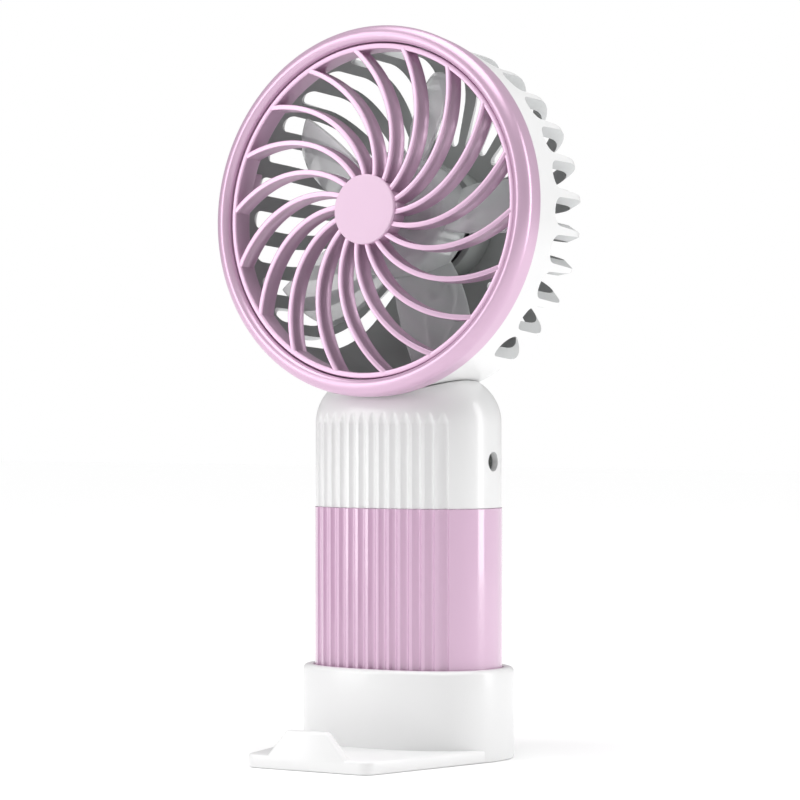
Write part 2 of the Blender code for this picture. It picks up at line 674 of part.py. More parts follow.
def make_electronics():
    """The circuit board and what is soldered on it, and the cell."""
    board = box("circuit_board", (-10.5, BOARD_FRONT, 47), (10.5, BOARD_BACK, 84), GREEN)
    for side in (-1, 1):
        x = side * BOARD_SCREW_X
        boolean(board, rod(f"board_hole_{side}", 1.2, (x, 7, BOARD_SCREW_Z), (x, 11, BOARD_SCREW_Z), 12))
    face = BOARD_BACK + GAP
    switch = box("tact_switch", (-3, face, BUTTON_HEIGHT - 3), (3, 12, BUTTON_HEIGHT + 3), BLACK_PLASTIC)
    boolean(switch, rod("switch_recess", 2.0, (0, 10.3, BUTTON_HEIGHT), (0, 14, BUTTON_HEIGHT), 16))
    port = port_prism("charging_port", 4.45, 1.6, face, 15.8, STEEL)
    boolean(port, port_prism("port_mouth", 4.0, 1.15, 11.2, 18, helper=True))
    tongue = box("port_tongue", (-3.3, 11.0, PORT_HEIGHT - 0.35), (3.3, 15.2, PORT_HEIGHT + 0.35), helper=True)
    boolean(port, tongue, "UNION")
    box("indicator_led", (-0.8, face, LAMP_HEIGHT - 0.4), (0.8, face + 0.8, LAMP_HEIGHT + 0.4), LED)
    box("driver_chip", (-9, face, 68), (-5, face + 1.5, 73), BLACK_PLASTIC)
    box("battery_cell", (-15, -6, 9.4), (15, 4, 49.4), SILVER, bevel=1.5)


def facing_back(height):
    """A place on the handle's back whose local Z points out along +Y."""
    return Matrix.Translation((0, 0, height * MM)) @ Matrix.Rotation(-math.pi / 2, 4, "X")


def make_controls():
    """The power button with its switch plunger, and the lamp's clear lens."""
    radius = BUTTON_RADIUS
    button = [(0, 16.9), (3.4, 16.8), (radius - 0.4, 16.5), (radius, 16.0), (radius, 13.5)]
    button += [(radius + 0.7, 13.5), (radius + 0.7, 12.9), (0, 12.9)]
    turned("power_button", button, PALE_PINK, 24, place=facing_back(BUTTON_HEIGHT))
    plunger = [(0, 12.7), (1.6, 12.7), (1.6, 10.9), (0, 10.9)]
    turned("switch_plunger", plunger, BLACK_PLASTIC, 16, place=facing_back(BUTTON_HEIGHT))
    lens = [(0, 16.4), (1.4, 16.2), (1.4, 13.8), (2.0, 13.8), (2.0, 13.0), (1.4, 13.0), (1.4, 11.0), (0, 11.0)]
    turned("indicator_lens", lens, CLEAR, 16, place=facing_back(LAMP_HEIGHT))


def make_screws():
    """Two screws each for the neck, the chassis, the board and the base."""
    for name, side in (("left", -1), ("right", 1)):
        x = side * NECK_SCREW_X
        pan_screw(f"neck_screw_{name}", (x, 0, CEILING - GAP - 2.0), (0, 0, 1), 6.0, STEEL)
        x = side * POST_X
        pan_screw(f"chassis_screw_{name}", (x, POST_Y, 52.1), (0, 0, 1), 9.0, STEEL)
        x = side * BOARD_SCREW_X
        pan_screw(f"board_screw_{name}", (x, BOARD_BACK + 0.2, BOARD_SCREW_Z), (0, -1, 0), 5.0, STEEL)
        x = side * BASE_SCREW_X
        pan_screw(f"base_screw_{name}", (x, 0, 5.1), (0, 0, 1), 10.5, STEEL)


def make_wires():
    """Two leads from the motor to the board, and two from the cell."""
    for name, side, insulation in (("a", -1, WHITE), ("b", 1, WHITE)):
        route = [
            head_point(side * 1.6, -12.9, -14.9),
            head_point(side * 4.4, -15.6, -15.4),
            head_point(side * 4.8, -20.0, -15.6),
            head_point(side * 2.6, -29.0, -15.3),
            head_point(side * 1.2, -36.0, -11.0),
            head_point(side * 0.9, -39.4, -4.5),
            (side * 0.9, 0.9, 92.6),
            (side * 0.9, 0.0, 89.5),
            (side * 0.9, 0.0, 84.5),
            (side * 1.4, 1.2, 81.0),
            (side * 2.4, 5.0, 79.2),
            (side * 2.6, 8.0, 79.0),
        ]
        wire(f"motor_lead_{name}", route, 0.5, insulation)
    for name, side, insulation in (("black", -1, BLACK_PLASTIC), ("red", 1, RED)):
        route = [
            (side * 3.0, -1.0, 49.8),
            (side * 3.0, -1.0, 53.0),
            (side * 3.3, 0.4, 57.5),
            (side * 3.8, 4.2, 61.5),
            (side * 4.0, 8.0, 62.5),
        ]
        wire(f"cell_lead_{name}", route, 0.6, insulation)


# ---------------------------------------------------------------- stand


def make_stand():
    """The stand: an oval cup for the handle, and a tray with a lip that holds a phone."""
    steps = [(0.0, 0.0), (CUP_HEIGHT - 1.7, 0.0), (CUP_HEIGHT - 0.5, 0.4), (CUP_HEIGHT, 1.3)]
    sections = [raised(oval(CUP_A - inset, CUP_B - inset, 48), height) for height, inset in steps]
    stand = loft("stand", sections, WHITE)
    side = (26.7, -4.0)
    corner = (TRAY_HALF - TRAY_CORNER, TRAY_FRONT + TRAY_CORNER)
    right = arc(corner, TRAY_CORNER, -90, -12, 5) + [side, (20, 6)]
    outline = right + [(-x, y) for x, y in reversed(right)]
    boolean(stand, slab("tray", outline, 0.0, TRAY_THICK, helper=True), "UNION")
    lip_outline = [
        (-LIP_HALF_BOTTOM, 1.0),
        (LIP_HALF_BOTTOM, 1.0),
        (LIP_HALF_BOTTOM, TRAY_THICK),
        (LIP_HALF_TOP + 0.8, LIP_TOP - 0.2),
        (LIP_HALF_TOP, LIP_TOP),
        (-LIP_HALF_TOP, LIP_TOP),
        (-LIP_HALF_TOP - 0.8, LIP_TOP - 0.2),
        (-LIP_HALF_BOTTOM, TRAY_THICK),
    ]
    lip = slab("lip", lip_outline, -TRAY_FRONT - LIP_THICK, -TRAY_FRONT - 0.01, helper=True)
    lip.matrix_world = Matrix.Rotation(math.pi / 2, 4, "X")
    boolean(stand, lip, "UNION")
    bore = slab("cup_bore", oval(CUP_BORE_A, CUP_BORE_B), CUP_FLOOR, CUP_HEIGHT + 5, helper=True)
    boolean(stand, bore)


# ---------------------------------------------------------------- the whole fan

clear_scene()
PARTS = new_collection("handheld_fan")
HELPERS = new_collection("cutters")
HELPERS.hide_render = True

WHITE = finish("white_plastic", (0.80, 0.80, 0.80), 0.45)
PINK = finish("pink_satin", (0.62, 0.36, 0.53), 0.35, 0.3)
PALE_PINK = finish("pale_pink_matte", (0.83, 0.60, 0.77), 0.55)
GLOSS_PINK = finish("pink_gloss", (0.85, 0.60, 0.78), 0.15)
CLEAR = finish("smoky_clear", (0.75, 0.78, 0.78), 0.08, alpha=0.4)
STEEL = finish("steel", (0.60, 0.60, 0.62), 0.3, 1.0)
BRONZE = finish("sintered_bronze", (0.50, 0.33, 0.16), 0.5, 1.0)
FERRITE = finish("ferrite", (0.05, 0.05, 0.06), 0.6)
BLACK_PLASTIC = finish("black_plastic", (0.02, 0.02, 0.02), 0.5)
GREEN = finish("circuit_board", (0.02, 0.20, 0.08), 0.4)
SILVER = finish("cell_wrap", (0.55, 0.57, 0.60), 0.3, 0.6)
RED = finish("red_insulation", (0.60, 0.03, 0.03), 0.45)
LED = finish("led", (0.9, 0.9, 0.7), 0.3)

HEAD = bpy.data.objects.new("head_axis", None)
HEAD.location = (0, 0, HEAD_HEIGHT * MM)
HEAD.rotation_euler = (math.radians(90 - HEAD_TILT), 0, 0)
PARTS.objects.link(HEAD)

make_stand()
make_trim_ring()
make_vane_grille()
make_hub_cap()
make_rear_shell()
make_motor()
make_impeller()
make_upper_housing()
make_grip_sleeve()
make_bottom_cap()
make_chassis()
make_neck_retainer()
make_electronics()
make_controls()
make_screws()
make_wires()
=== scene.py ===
import json
import math

import bmesh
import bpy
from mathutils import Matrix, Vector


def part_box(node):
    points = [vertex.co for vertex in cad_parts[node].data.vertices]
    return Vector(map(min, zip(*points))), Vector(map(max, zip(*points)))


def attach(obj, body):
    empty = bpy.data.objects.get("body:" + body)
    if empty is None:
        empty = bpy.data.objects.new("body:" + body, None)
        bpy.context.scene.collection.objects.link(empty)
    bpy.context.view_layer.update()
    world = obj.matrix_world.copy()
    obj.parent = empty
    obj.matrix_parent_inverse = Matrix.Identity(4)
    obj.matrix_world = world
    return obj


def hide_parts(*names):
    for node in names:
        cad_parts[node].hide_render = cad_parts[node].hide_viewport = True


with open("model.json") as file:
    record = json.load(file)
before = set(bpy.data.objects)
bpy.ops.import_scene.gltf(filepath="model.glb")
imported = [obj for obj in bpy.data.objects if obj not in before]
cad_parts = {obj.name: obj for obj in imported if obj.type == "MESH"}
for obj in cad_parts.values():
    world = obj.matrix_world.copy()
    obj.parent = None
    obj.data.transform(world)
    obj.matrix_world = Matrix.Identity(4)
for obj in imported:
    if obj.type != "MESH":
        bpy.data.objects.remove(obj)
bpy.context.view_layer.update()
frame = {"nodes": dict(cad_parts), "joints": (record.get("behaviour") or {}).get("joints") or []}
MM = 0.001

# %% [markdown]
# ## Two places to work from
# The head is round, so its parts are easiest to draw flat, about their own Z axis, and to lean
# back afterwards. The joint that the wheel spins on gives that axis, so it needn't be measured
# again. The handle stands straight up and is drawn in place. All drawing is in millimetres.
# %% The head's axis, from the wheel's joint
spin_joint = next(joint for joint in frame["joints"] if joint["name"] == "impeller_spin")
head_front = Vector(spin_joint["axis"]).normalized()
head_right = Vector((1, 0, 0))
head_up = head_front.cross(head_right)
head_turn = Matrix((head_right, head_up, head_front)).transposed().to_4x4()
HEAD = Matrix.Translation(Vector(spin_joint["pos_m"]) / MM) @ head_turn
print("head leans back by", round(math.degrees(math.asin(head_front.z)), 2), "degrees")

# %% Sizes of the CAD parts


def size_mm(node):
    """The lowest and highest corner of a CAD part, in millimetres."""
    low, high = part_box(node)
    return low / MM, high / MM


def half_width(node):
    """Half of a CAD part's width; for a round part of the head it is the radius."""
    low, high = size_mm(node)
    return (high.x - low.x) / 2


TRIM_OUT = half_width("trim_ring")
RING_OUT = half_width("vane_grille")
SHELL_OUT = half_width("rear_shell")
CAP_OUT = half_width("hub_cap")
print("head radii, mm:", [round(radius, 2) for radius in (TRIM_OUT, RING_OUT, SHELL_OUT, CAP_OUT)])

# %% [markdown]
# ## From a bmesh to a finished piece
# Every piece ends the same way: its faces are turned outwards, it is put in place, and its mesh is
# written in metres on an object that stays at the origin. Faces that meet at less than the sharp
# angle are shaded as one surface. Then the piece takes its finishes and hangs on the body that
# carries it, and the CAD parts that it stands for are hidden. One helper keeps the later cells
# short.
# %% Helper: finish a piece


def make_piece(bm, name, finishes, body, nodes, place=None, sharp=38):
    """Turn a bmesh in millimetres into a piece that rides on a body."""
    bmesh.ops.recalc_face_normals(bm, faces=bm.faces)
    if place:
        bmesh.ops.transform(bm, matrix=place, verts=bm.verts)
    bmesh.ops.scale(bm, vec=(MM, MM, MM), verts=bm.verts)
    mesh = bpy.data.meshes.new(name)
    bm.to_mesh(mesh)
    bm.free()
    for finish in finishes:
        mesh.materials.append(finish)
    mesh.shade_smooth()
    mesh.set_sharp_from_angle(angle=math.radians(sharp))
    piece = bpy.data.objects.new(name, mesh)
    bpy.context.scene.collection.objects.link(piece)
    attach(piece, body)
    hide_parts(*nodes)
    print(f"{name}: {len(mesh.polygons)} faces on {body}")


# %% [markdown]
# ## Round parts
# A ring, a cap or a hub is a flat outline turned once about an axis, as on a lathe. The spin
# operator does that. Its last copy lands on its first, so use_merge joins them, and merging by
# distance closes the points that lie on the axis.
# %% Helpers: an arc and a full spin


def arc(centre, radius, start, end, steps):
    """Points on an arc whose angles are in degrees."""
    angles = [math.radians(start + (end - start) * i / steps) for i in range(steps + 1)]
    return [(centre[0] + radius * math.cos(t), centre[1] + radius * math.sin(t)) for t in angles]


def spun(profile, steps=128, closed=True):
    """Spin an outline of (radius, height) points once about Z."""
    bm = bmesh.new()
    verts = [bm.verts.new((radius, 0, height)) for radius, height in profile]
    edges = [bm.edges.new(pair) for pair in zip(verts, verts[1:])]
    if closed and profile[0][0] > 0:
        edges.append(bm.edges.new((verts[-1], verts[0])))
    geometry = verts + edges
    bmesh.ops.spin(bm, geom=geometry, axis=(0, 0, 1), angle=math.tau, steps=steps, use_merge=True)
    bmesh.ops.remove_doubles(bm, verts=bm.verts, dist=0.001)
    bmesh.ops.recalc_face_normals(bm, faces=bm.faces)
    return bm


# %% [markdown]
# ## Rounded edges
# Moulded plastic has no dead sharp edge: even a tight one catches a thin line of light. The bevel
# operator rounds the edges whose faces meet at more than a limit. Where only some of them should be
# rounded, a small test picks them.
# %% Helper: round off edges


def round_off(bm, width, segments=3, limit=40, keep=None):
    """Round the edges sharper than a limit in degrees; keep picks among them."""
    sharp = [edge for edge in bm.edges if edge.calc_face_angle(0) > math.radians(limit)]
    if keep:
        sharp = [edge for edge in sharp if keep(edge)]
    bmesh.ops.bevel(
        bm,
        geom=sharp,
        offset=width,
        offset_type="OFFSET",
        affect="EDGES",
        segments=segments,
        profile=0.5,
        material=-1,
        clamp_overlap=True,
    )
    return bm


# %% [markdown]
# ## Simple bodies to build with
# Tabs and blocks start as a cube that is scaled between two corners. Holes are cut with a round
# bar, which starts as a cone with two equal radii and is turned to lie between its two ends.
# %% Helpers: a block, a bar and a join


def block(low, high, bevel=0.0):
    """A box between two corners, its edges rounded when a bevel is given."""
    low, high = Vector(low), Vector(high)
    bm = bmesh.new()
    bmesh.ops.create_cube(bm, size=1.0)
    bmesh.ops.scale(bm, vec=high - low, verts=bm.verts)
    bmesh.ops.translate(bm, vec=(low + high) / 2, verts=bm.verts)
    if bevel:
        round_off(bm, bevel)
    return bm


def bar(radius, start, end, sides=48):
    """A round bar between two points, to cut a hole."""
    start, end = Vector(start), Vector(end)
    bm = bmesh.new()
    bmesh.ops.create_cone(
        bm,
        cap_ends=True,
        segments=sides,
        radius1=radius,
        radius2=radius,
        depth=(end - start).length,
    )
    turn = (end - start).to_track_quat("Z", "Y").to_matrix().to_4x4()
    bmesh.ops.transform(bm, matrix=Matrix.Translation((start + end) / 2) @ turn, verts=bm.verts)
    return bm


def join(target, *others):
    """Move other bmeshes into the first one."""
    for other in others:
        bmesh.ops.recalc_face_normals(other, faces=other.faces)
        spare = bpy.data.meshes.new("spare")
        other.to_mesh(spare)
        other.free()
        target.from_mesh(spare)
        bpy.data.meshes.remove(spare)
    return target


# %% [markdown]
# ## Parts with a changing section
# The handle and the stand have an oval section that changes with height. One flat face is pulled
# upwards with the extrude operator, and after each pull its corners are set to the next outline.
# The face that a pull leaves behind would be a wall inside, so it is deleted, except the first.
# %% Helper: pull a section through outlines


def pulled(sections):
    """Pull the first outline through the rest; all have the same number of points."""
    bm = bmesh.new()
    face = bm.faces.new([bm.verts.new(point) for point in sections[0]])
    for i, section in enumerate(sections[1:]):
        grown = bmesh.ops.extrude_face_region(bm, geom=[face])["geom"]
        moved = next(part for part in grown if isinstance(part, bmesh.types.BMFace))
        for vert, point in zip(moved.verts, section):
            vert.co = point
        if i > 0 and face.is_valid:
            bmesh.ops.delete(bm, geom=[face], context="FACES_ONLY")
        face = moved
    bmesh.ops.recalc_face_normals(bm, faces=bm.faces)
    return bm


# %% [markdown]
# ## Cutting
# Slots and holes are easiest to take out of a finished body with the Boolean modifier. Its exact
# solver wants closed shapes that face outwards. The result is read back into a bmesh, so that no
# live modifier is left on the piece.
# %% Helper: cut shapes out of a shape


def cut(bm, *cutters):
    """Take closed shapes out of a closed shape, and give back what is left."""
    made = []
    for shape in (bm, *cutters):
        bmesh.ops.recalc_face_normals(shape, faces=shape.faces)
        mesh = bpy.data.meshes.new("cutting")
        shape.to_mesh(mesh)
        shape.free()
        made.append(bpy.data.objects.new("cutting", mesh))
        bpy.context.scene.collection.objects.link(made[-1])
    for cutter in made[1:]:
        step = made[0].modifiers.new("Cut", "BOOLEAN")
        step.operation = "DIFFERENCE"
        step.solver = "EXACT"
        step.object = cutter
    shown = made[0].evaluated_get(bpy.context.evaluated_depsgraph_get())
    left = bmesh.new()
    left.from_mesh(shown.to_mesh())
    for thing in made:
        mesh = thing.data
        bpy.data.objects.remove(thing)
        bpy.data.meshes.remove(mesh)
    return left


# %% [markdown]
# ## A node group for moulded plastic
# Plastic from a mould is never dead flat: its colour drifts a little over a few centimetres, and a
# fine spark-eroded grain breaks up the gloss. Both come from noise on the object's own coordinates.
# Every finish here needs them, so they are one node group. A material sets the colours, the
# roughness and the scale of the grain for itself, and keeps the two amounts of drift as they are.
# %% Helpers: a group and a Math node


def new_group(name, inputs, outputs):
    """A shader node group with named sockets, and its two end nodes."""
    group = bpy.data.node_groups.new(name, "ShaderNodeTree")
    for label, kind, value in inputs:
        socket = group.interface.new_socket(name=label, in_out="INPUT", socket_type=kind)
        socket.default_value = value
    for label, kind in outputs:
        group.interface.new_socket(name=label, in_out="OUTPUT", socket_type=kind)
    return group, group.nodes.new("NodeGroupInput"), group.nodes.new("NodeGroupOutput")


def math_node(group, operation, first, second):
    """Two values, or a value and a number, through one Math node."""
    node = group.nodes.new("ShaderNodeMath")
    node.operation = operation
    for socket, value in zip(node.inputs, (first, second)):
        if isinstance(value, (int, float)):
            socket.default_value = value
        else:
            group.links.new(value, socket)
    return node.outputs[0]


# %% The group and its sockets
grain_inputs = [
    ("Colour", "NodeSocketColor", (0.8, 0.8, 0.8, 1)),
    ("Drift Colour", "NodeSocketColor", (0.7, 0.7, 0.7, 1)),
    ("Drift", "NodeSocketFloat", 0.2),
    ("Roughness", "NodeSocketFloat", 0.4),
    ("Roughness Drift", "NodeSocketFloat", 0.05),
    ("Grain Scale", "NodeSocketFloat", 2500.0),
]
grain_outputs = [
    ("Colour", "NodeSocketColor"),
    ("Roughness", "NodeSocketFloat"),
    ("Height", "NodeSocketFloat"),
]
GRAIN, group_in, group_out = new_group("moulded_grain", grain_inputs, grain_outputs)
print("sockets:", [item.name for item in GRAIN.interface.items_tree])

# %% Two noises: a broad cloud and a fine grain
CLOUD_SCALE = 45.0
links = GRAIN.links
where = GRAIN.nodes.new("ShaderNodeTexCoord")
cloud = GRAIN.nodes.new("ShaderNodeTexNoise")
cloud.inputs["Scale"].default_value = CLOUD_SCALE
cloud.inputs["Detail"].default_value = 3.0
links.new(where.outputs["Object"], cloud.inputs["Vector"])
speck = GRAIN.nodes.new("ShaderNodeTexNoise")
speck.inputs["Detail"].default_value = 2.0
links.new(where.outputs["Object"], speck.inputs["Vector"])
links.new(group_in.outputs["Grain Scale"], speck.inputs["Scale"])
links.new(speck.outputs["Fac"], group_out.inputs["Height"])
print("cloud patches about", round(1 / CLOUD_SCALE / MM), "mm across")

# %% The cloud moves the colour and the roughness
blend = GRAIN.nodes.new("ShaderNodeMix")
blend.data_type = "RGBA"
colour_a, colour_b = [socket for socket in blend.inputs if socket.type == "RGBA"]
blended = next(socket for socket in blend.outputs if socket.type == "RGBA")
amount = math_node(GRAIN, "MULTIPLY", cloud.outputs["Fac"], group_in.outputs["Drift"])
links.new(amount, blend.inputs["Factor"])
links.new(group_in.outputs["Colour"], colour_a)
links.new(group_in.outputs["Drift Colour"], colour_b)
links.new(blended, group_out.inputs["Colour"])
swing = math_node(GRAIN, "SUBTRACT", cloud.outputs["Fac"], 0.5)
swing = math_node(GRAIN, "MULTIPLY", swing, group_in.outputs["Roughness Drift"])
rough = math_node(GRAIN, "ADD", swing, group_in.outputs["Roughness"])
links.new(rough, group_out.inputs["Roughness"])
print("moulded_grain:", len(GRAIN.nodes), "nodes")

# %% [markdown]
# ## A finish from the group
# Every finish is a Principled shader fed by the grain group: colour and roughness straight, and the
# grain through a Bump node. What is the same all over the surface, such as metal or a clear coat,
# sits on the shader's own socket, because nothing has to vary it.
# %% Helper: one material


def moulded(name, colour, drift, roughness, grain=2500.0, bump=0.05, **sockets):
    """A material of one colour that drifts towards another."""
    made = bpy.data.materials.new(name)
    made.use_nodes = True
    nodes, wires = made.node_tree.nodes, made.node_tree.links
    shader = nodes["Principled BSDF"]
    group = nodes.new("ShaderNodeGroup")
    group.node_tree = GRAIN
    group.inputs["Colour"].default_value = (*colour, 1)
    group.inputs["Drift Colour"].default_value = (*drift, 1)
    group.inputs["Roughness"].default_value = roughness
    group.inputs["Grain Scale"].default_value = grain
    relief = nodes.new("ShaderNodeBump")
    relief.inputs["Strength"].default_value = bump
    relief.inputs["Distance"].default_value = 0.1 * MM
    wires.new(group.outputs["Height"], relief.inputs["Height"])
    wires.new(relief.outputs["Normal"], shader.inputs["Normal"])
    wires.new(group.outputs["Colour"], shader.inputs["Base Color"])
    wires.new(group.outputs["Roughness"], shader.inputs["Roughness"])
    for label, value in sockets.items():
        shader.inputs[label.replace("_", " ")].default_value = value
    return made


# %% [markdown]
# ## White plastic, and its painted shade
# The shell, the upper handle and the stand are one white plastic. Little light reaches the air
# slots and less the inside, so shade is painted there: the white is drawn darker, and duller, than
# the plastic may really be. This painted shade is what lets the slots read as openings.
# %% Whites
WHITE = moulded("white_plastic", (0.80, 0.80, 0.80), (0.76, 0.77, 0.77), 0.3, Coat_Weight=0.2)
# Painted shade: a mid grey for the slots' walls and a dark grey for the inside, both rougher.
SLOT_SHADE_PAINTED_WHITE = moulded("white_plastic_painted_shade_in_slots", (0.58, 0.59, 0.59), (0.54, 0.55, 0.55), 0.5)
SHADE_PAINTED_WHITE = moulded(
    "white_plastic_painted_shade_inside", (0.32, 0.34, 0.33), (0.26, 0.28, 0.27), 0.6, bump=0.1
)
print("whites:", WHITE.name, SLOT_SHADE_PAINTED_WHITE.name, SHADE_PAINTED_WHITE.name)

# %% [markdown]
# ## Pink, in three states
# The bezel and the grille are pearly, which is a little metal in the colour. The hub cap is matte,
# so it looks flat and pale. The sleeve is the glossiest, under a clear coat, so that its flutes
# show as bright and dark streaks.
# %% Pinks
PEARL = moulded(
    "pearl_pink", (0.66, 0.45, 0.60), (0.58, 0.39, 0.53), 0.32, bump=0.02, Metallic=0.45
)
MATTE_PINK = moulded("matte_pink", (0.75, 0.54, 0.69), (0.73, 0.52, 0.67), 0.6, bump=0.08)
GLOSS_PINK = moulded(
    "gloss_pink", (0.66, 0.44, 0.60), (0.63, 0.41, 0.57), 0.14, bump=0.01, Coat_Weight=0.7
)
print("pinks:", PEARL.name, MATTE_PINK.name, GLOSS_PINK.name)

# %% [markdown]
# ## Smoky clear plastic
# The wheel is clear plastic with a grey tint. Such plastic shows its edges: a blade seen face on
# lets the light through, and seen edge on it is nearly solid. A glass shader would show that too,
# but slowly and with noise. Here a Layer Weight node drives the alpha instead.
# %% Clear plastic, denser edge on
SMOKY = moulded(
    "smoky_clear", (0.74, 0.78, 0.77), (0.60, 0.64, 0.63), 0.06, bump=0.0, Coat_Weight=1.0
)
ALPHA_FACING, ALPHA_EDGE = 0.4, 0.97
tree = SMOKY.node_tree
facing = tree.nodes.new("ShaderNodeLayerWeight")
facing.inputs["Blend"].default_value = 0.42
density = tree.nodes.new("ShaderNodeMapRange")
density.inputs["To Min"].default_value = ALPHA_FACING
density.inputs["To Max"].default_value = ALPHA_EDGE
tree.links.new(facing.outputs["Facing"], density.inputs["Value"])
tree.links.new(density.outputs["Result"], tree.nodes["Principled BSDF"].inputs["Alpha"])
print("alpha from", ALPHA_FACING, "face on to", ALPHA_EDGE, "edge on")

# %% [markdown]
# ## Metals and the parts inside
# The motor, the screws and the socket are metal, with a coarser grain that reads as brushing or
# rolling. The rest is what a small appliance has inside: black plastic, a dark magnet, green solder
# mask, the foil sleeve of the cell and the insulation of its leads.
# %% Finishes for the inside
STEEL = moulded(
    "bare_steel", (0.56, 0.56, 0.58), (0.42, 0.42, 0.44), 0.3, grain=900.0, Metallic=1.0
)
BRONZE = moulded(
    "oiled_bronze", (0.50, 0.33, 0.16), (0.36, 0.22, 0.10), 0.45, grain=4000.0, Metallic=1.0
)
FERRITE = moulded("dark_ferrite", (0.05, 0.05, 0.06), (0.08, 0.08, 0.09), 0.6, bump=0.3)
BLACK = moulded("black_plastic", (0.02, 0.02, 0.02), (0.04, 0.04, 0.04), 0.45, bump=0.1)
MASK_GREEN = moulded("solder_mask", (0.02, 0.18, 0.07), (0.01, 0.12, 0.05), 0.3, Coat_Weight=0.3)
FOIL = moulded(
    "cell_foil", (0.55, 0.57, 0.60), (0.45, 0.47, 0.50), 0.3, grain=500.0, bump=0.2, Metallic=0.6
)
RED = moulded("red_insulation", (0.60, 0.03, 0.03), (0.45, 0.02, 0.02), 0.45)
LAMP = moulded("lamp_chip", (0.90, 0.88, 0.65), (0.85, 0.80, 0.50), 0.3)
print("finishes:", len(bpy.data.materials))

# %% [markdown]
# ## The coloured trim ring
# The bezel is one round moulding: a straight outer side, a broad soft shoulder and a front that
# falls away to a crisp inner edge. It could be a torus, but a torus can't be flat at the back, nor
# fuller on one side. Two arcs of different radius in a spun outline can.
# %% Trim ring
AROUND_HEAD = 160
TRIM_IN, TRIM_FRONT, TRIM_SEAM, TRIM_BACK = 41.2, 19.2, 17.9, 12.3
SHOULDER_OUT, SHOULDER_IN = 2.6, 1.6
outline = arc((TRIM_OUT - SHOULDER_OUT, TRIM_FRONT - SHOULDER_OUT), SHOULDER_OUT, 0, 90, 12)
outline += arc((TRIM_IN + SHOULDER_IN, TRIM_FRONT - SHOULDER_IN), SHOULDER_IN, 95, 158, 8)
outline += [(TRIM_IN + 0.02, TRIM_SEAM), (TRIM_IN, TRIM_BACK), (TRIM_OUT - 0.3, TRIM_BACK)]
make_piece(spun(outline, AROUND_HEAD), "trim", [PEARL], "fan", ["trim_ring"], HEAD)

# %% [markdown]
# ## One vane, while it is still straight
# A vane is a thin bar on edge, with a bead along its front and a fine one along its back, which
# stiffen it and catch the light as two lines. It starts as a straight bar, because there its edges
# are easy to pick and round. The bisect operator cuts the lines that the beads end at, the web
# between them is narrowed, and the bar is cut into short lengths that can bend later.
# %% A straight bar with two beads
VANE_COUNT, VANE_START, VANE_SWEEP = 18, 14.9, 44.0
VANE_THICK, VANE_DEEP, VANE_ROUND, VANE_CUTS = 1.3, 5.2, 0.22, 30
FRONT_BEAD, BACK_BEAD, BEAD_BLEND, WEB = 1.15, 0.35, 0.2, 0.78
VANE_ROOT = CAP_OUT - 0.1
VANE_LENGTH = RING_OUT - 0.7 - VANE_ROOT


def lengthwise(bm):
    """The edges that run along the bar."""
    return [edge for edge in bm.edges if abs(edge.verts[0].co.x - edge.verts[1].co.x) > 1]


def straight_bar():
    """A bar along X with a bead along its front and back edges and a thinner web between."""
    bm = block((0, -VANE_THICK / 2, -VANE_DEEP), (VANE_LENGTH, VANE_THICK / 2, 0))
    back_line = VANE_DEEP - BACK_BEAD
    for depth in (FRONT_BEAD, FRONT_BEAD + BEAD_BLEND, back_line - BEAD_BLEND, back_line):
        geometry = bm.verts[:] + bm.edges[:] + bm.faces[:]
        bmesh.ops.bisect_plane(bm, geom=geometry, plane_co=(0, 0, -depth), plane_no=(0, 0, 1))
    for vert in bm.verts:
        if FRONT_BEAD + BEAD_BLEND / 2 < -vert.co.z < back_line - BEAD_BLEND / 2:
            vert.co.y *= WEB
    front_and_back = [
        edge
        for edge in lengthwise(bm)
        if min(abs(edge.verts[0].co.z), abs(edge.verts[0].co.z + VANE_DEEP)) < 0.01
    ]
    bmesh.ops.bevel(
        bm,
        geom=front_and_back,
        offset=VANE_ROUND,
        affect="EDGES",
        segments=3,
        profile=0.5,
        material=-1,
    )
    bmesh.ops.subdivide_edges(bm, edges=lengthwise(bm), cuts=VANE_CUTS, use_grid_fill=True)
    return bm


print("a vane is", round(VANE_LENGTH, 1), "mm long before it is bent")

# %% [markdown]
# ## Bending it onto the spiral
# The vane swings round by a fixed angle as it leaves the hub, and the whole grille is slightly
# domed. A curve with a bevel could follow that line, but its section would twist. Every point of
# the bar is moved instead: out along the spiral, across it, and down from the domed front.
# %% Eighteen bent vanes
RING_FRONT, DOME, VANE_DROP = 17.6, 2.0, 0.15


def bend_to_spiral(bm, turn):
    """Carry every point of the bar to its place on the spiral."""
    for vert in bm.verts:
        share = vert.co.x / VANE_LENGTH
        radius = VANE_ROOT + vert.co.x
        angle = math.radians(turn + VANE_START + VANE_SWEEP * share)
        slope = math.radians(VANE_SWEEP) * radius / VANE_LENGTH
        across = Matrix.Rotation(angle, 3, "Z") @ Vector((-slope, 1, 0)).normalized()
        front = RING_FRONT + DOME * (1 - (radius / RING_OUT) ** 3) - VANE_DROP
        line = Vector((radius * math.cos(angle), radius * math.sin(angle), front + vert.co.z))
        vert.co = line + across * vert.co.y


vanes = []
for number in range(VANE_COUNT):
    vane = straight_bar()
    bend_to_spiral(vane, 360 / VANE_COUNT * number)
    vanes.append(vane)
print(len(vanes), "vanes of", len(vanes[0].faces), "faces")

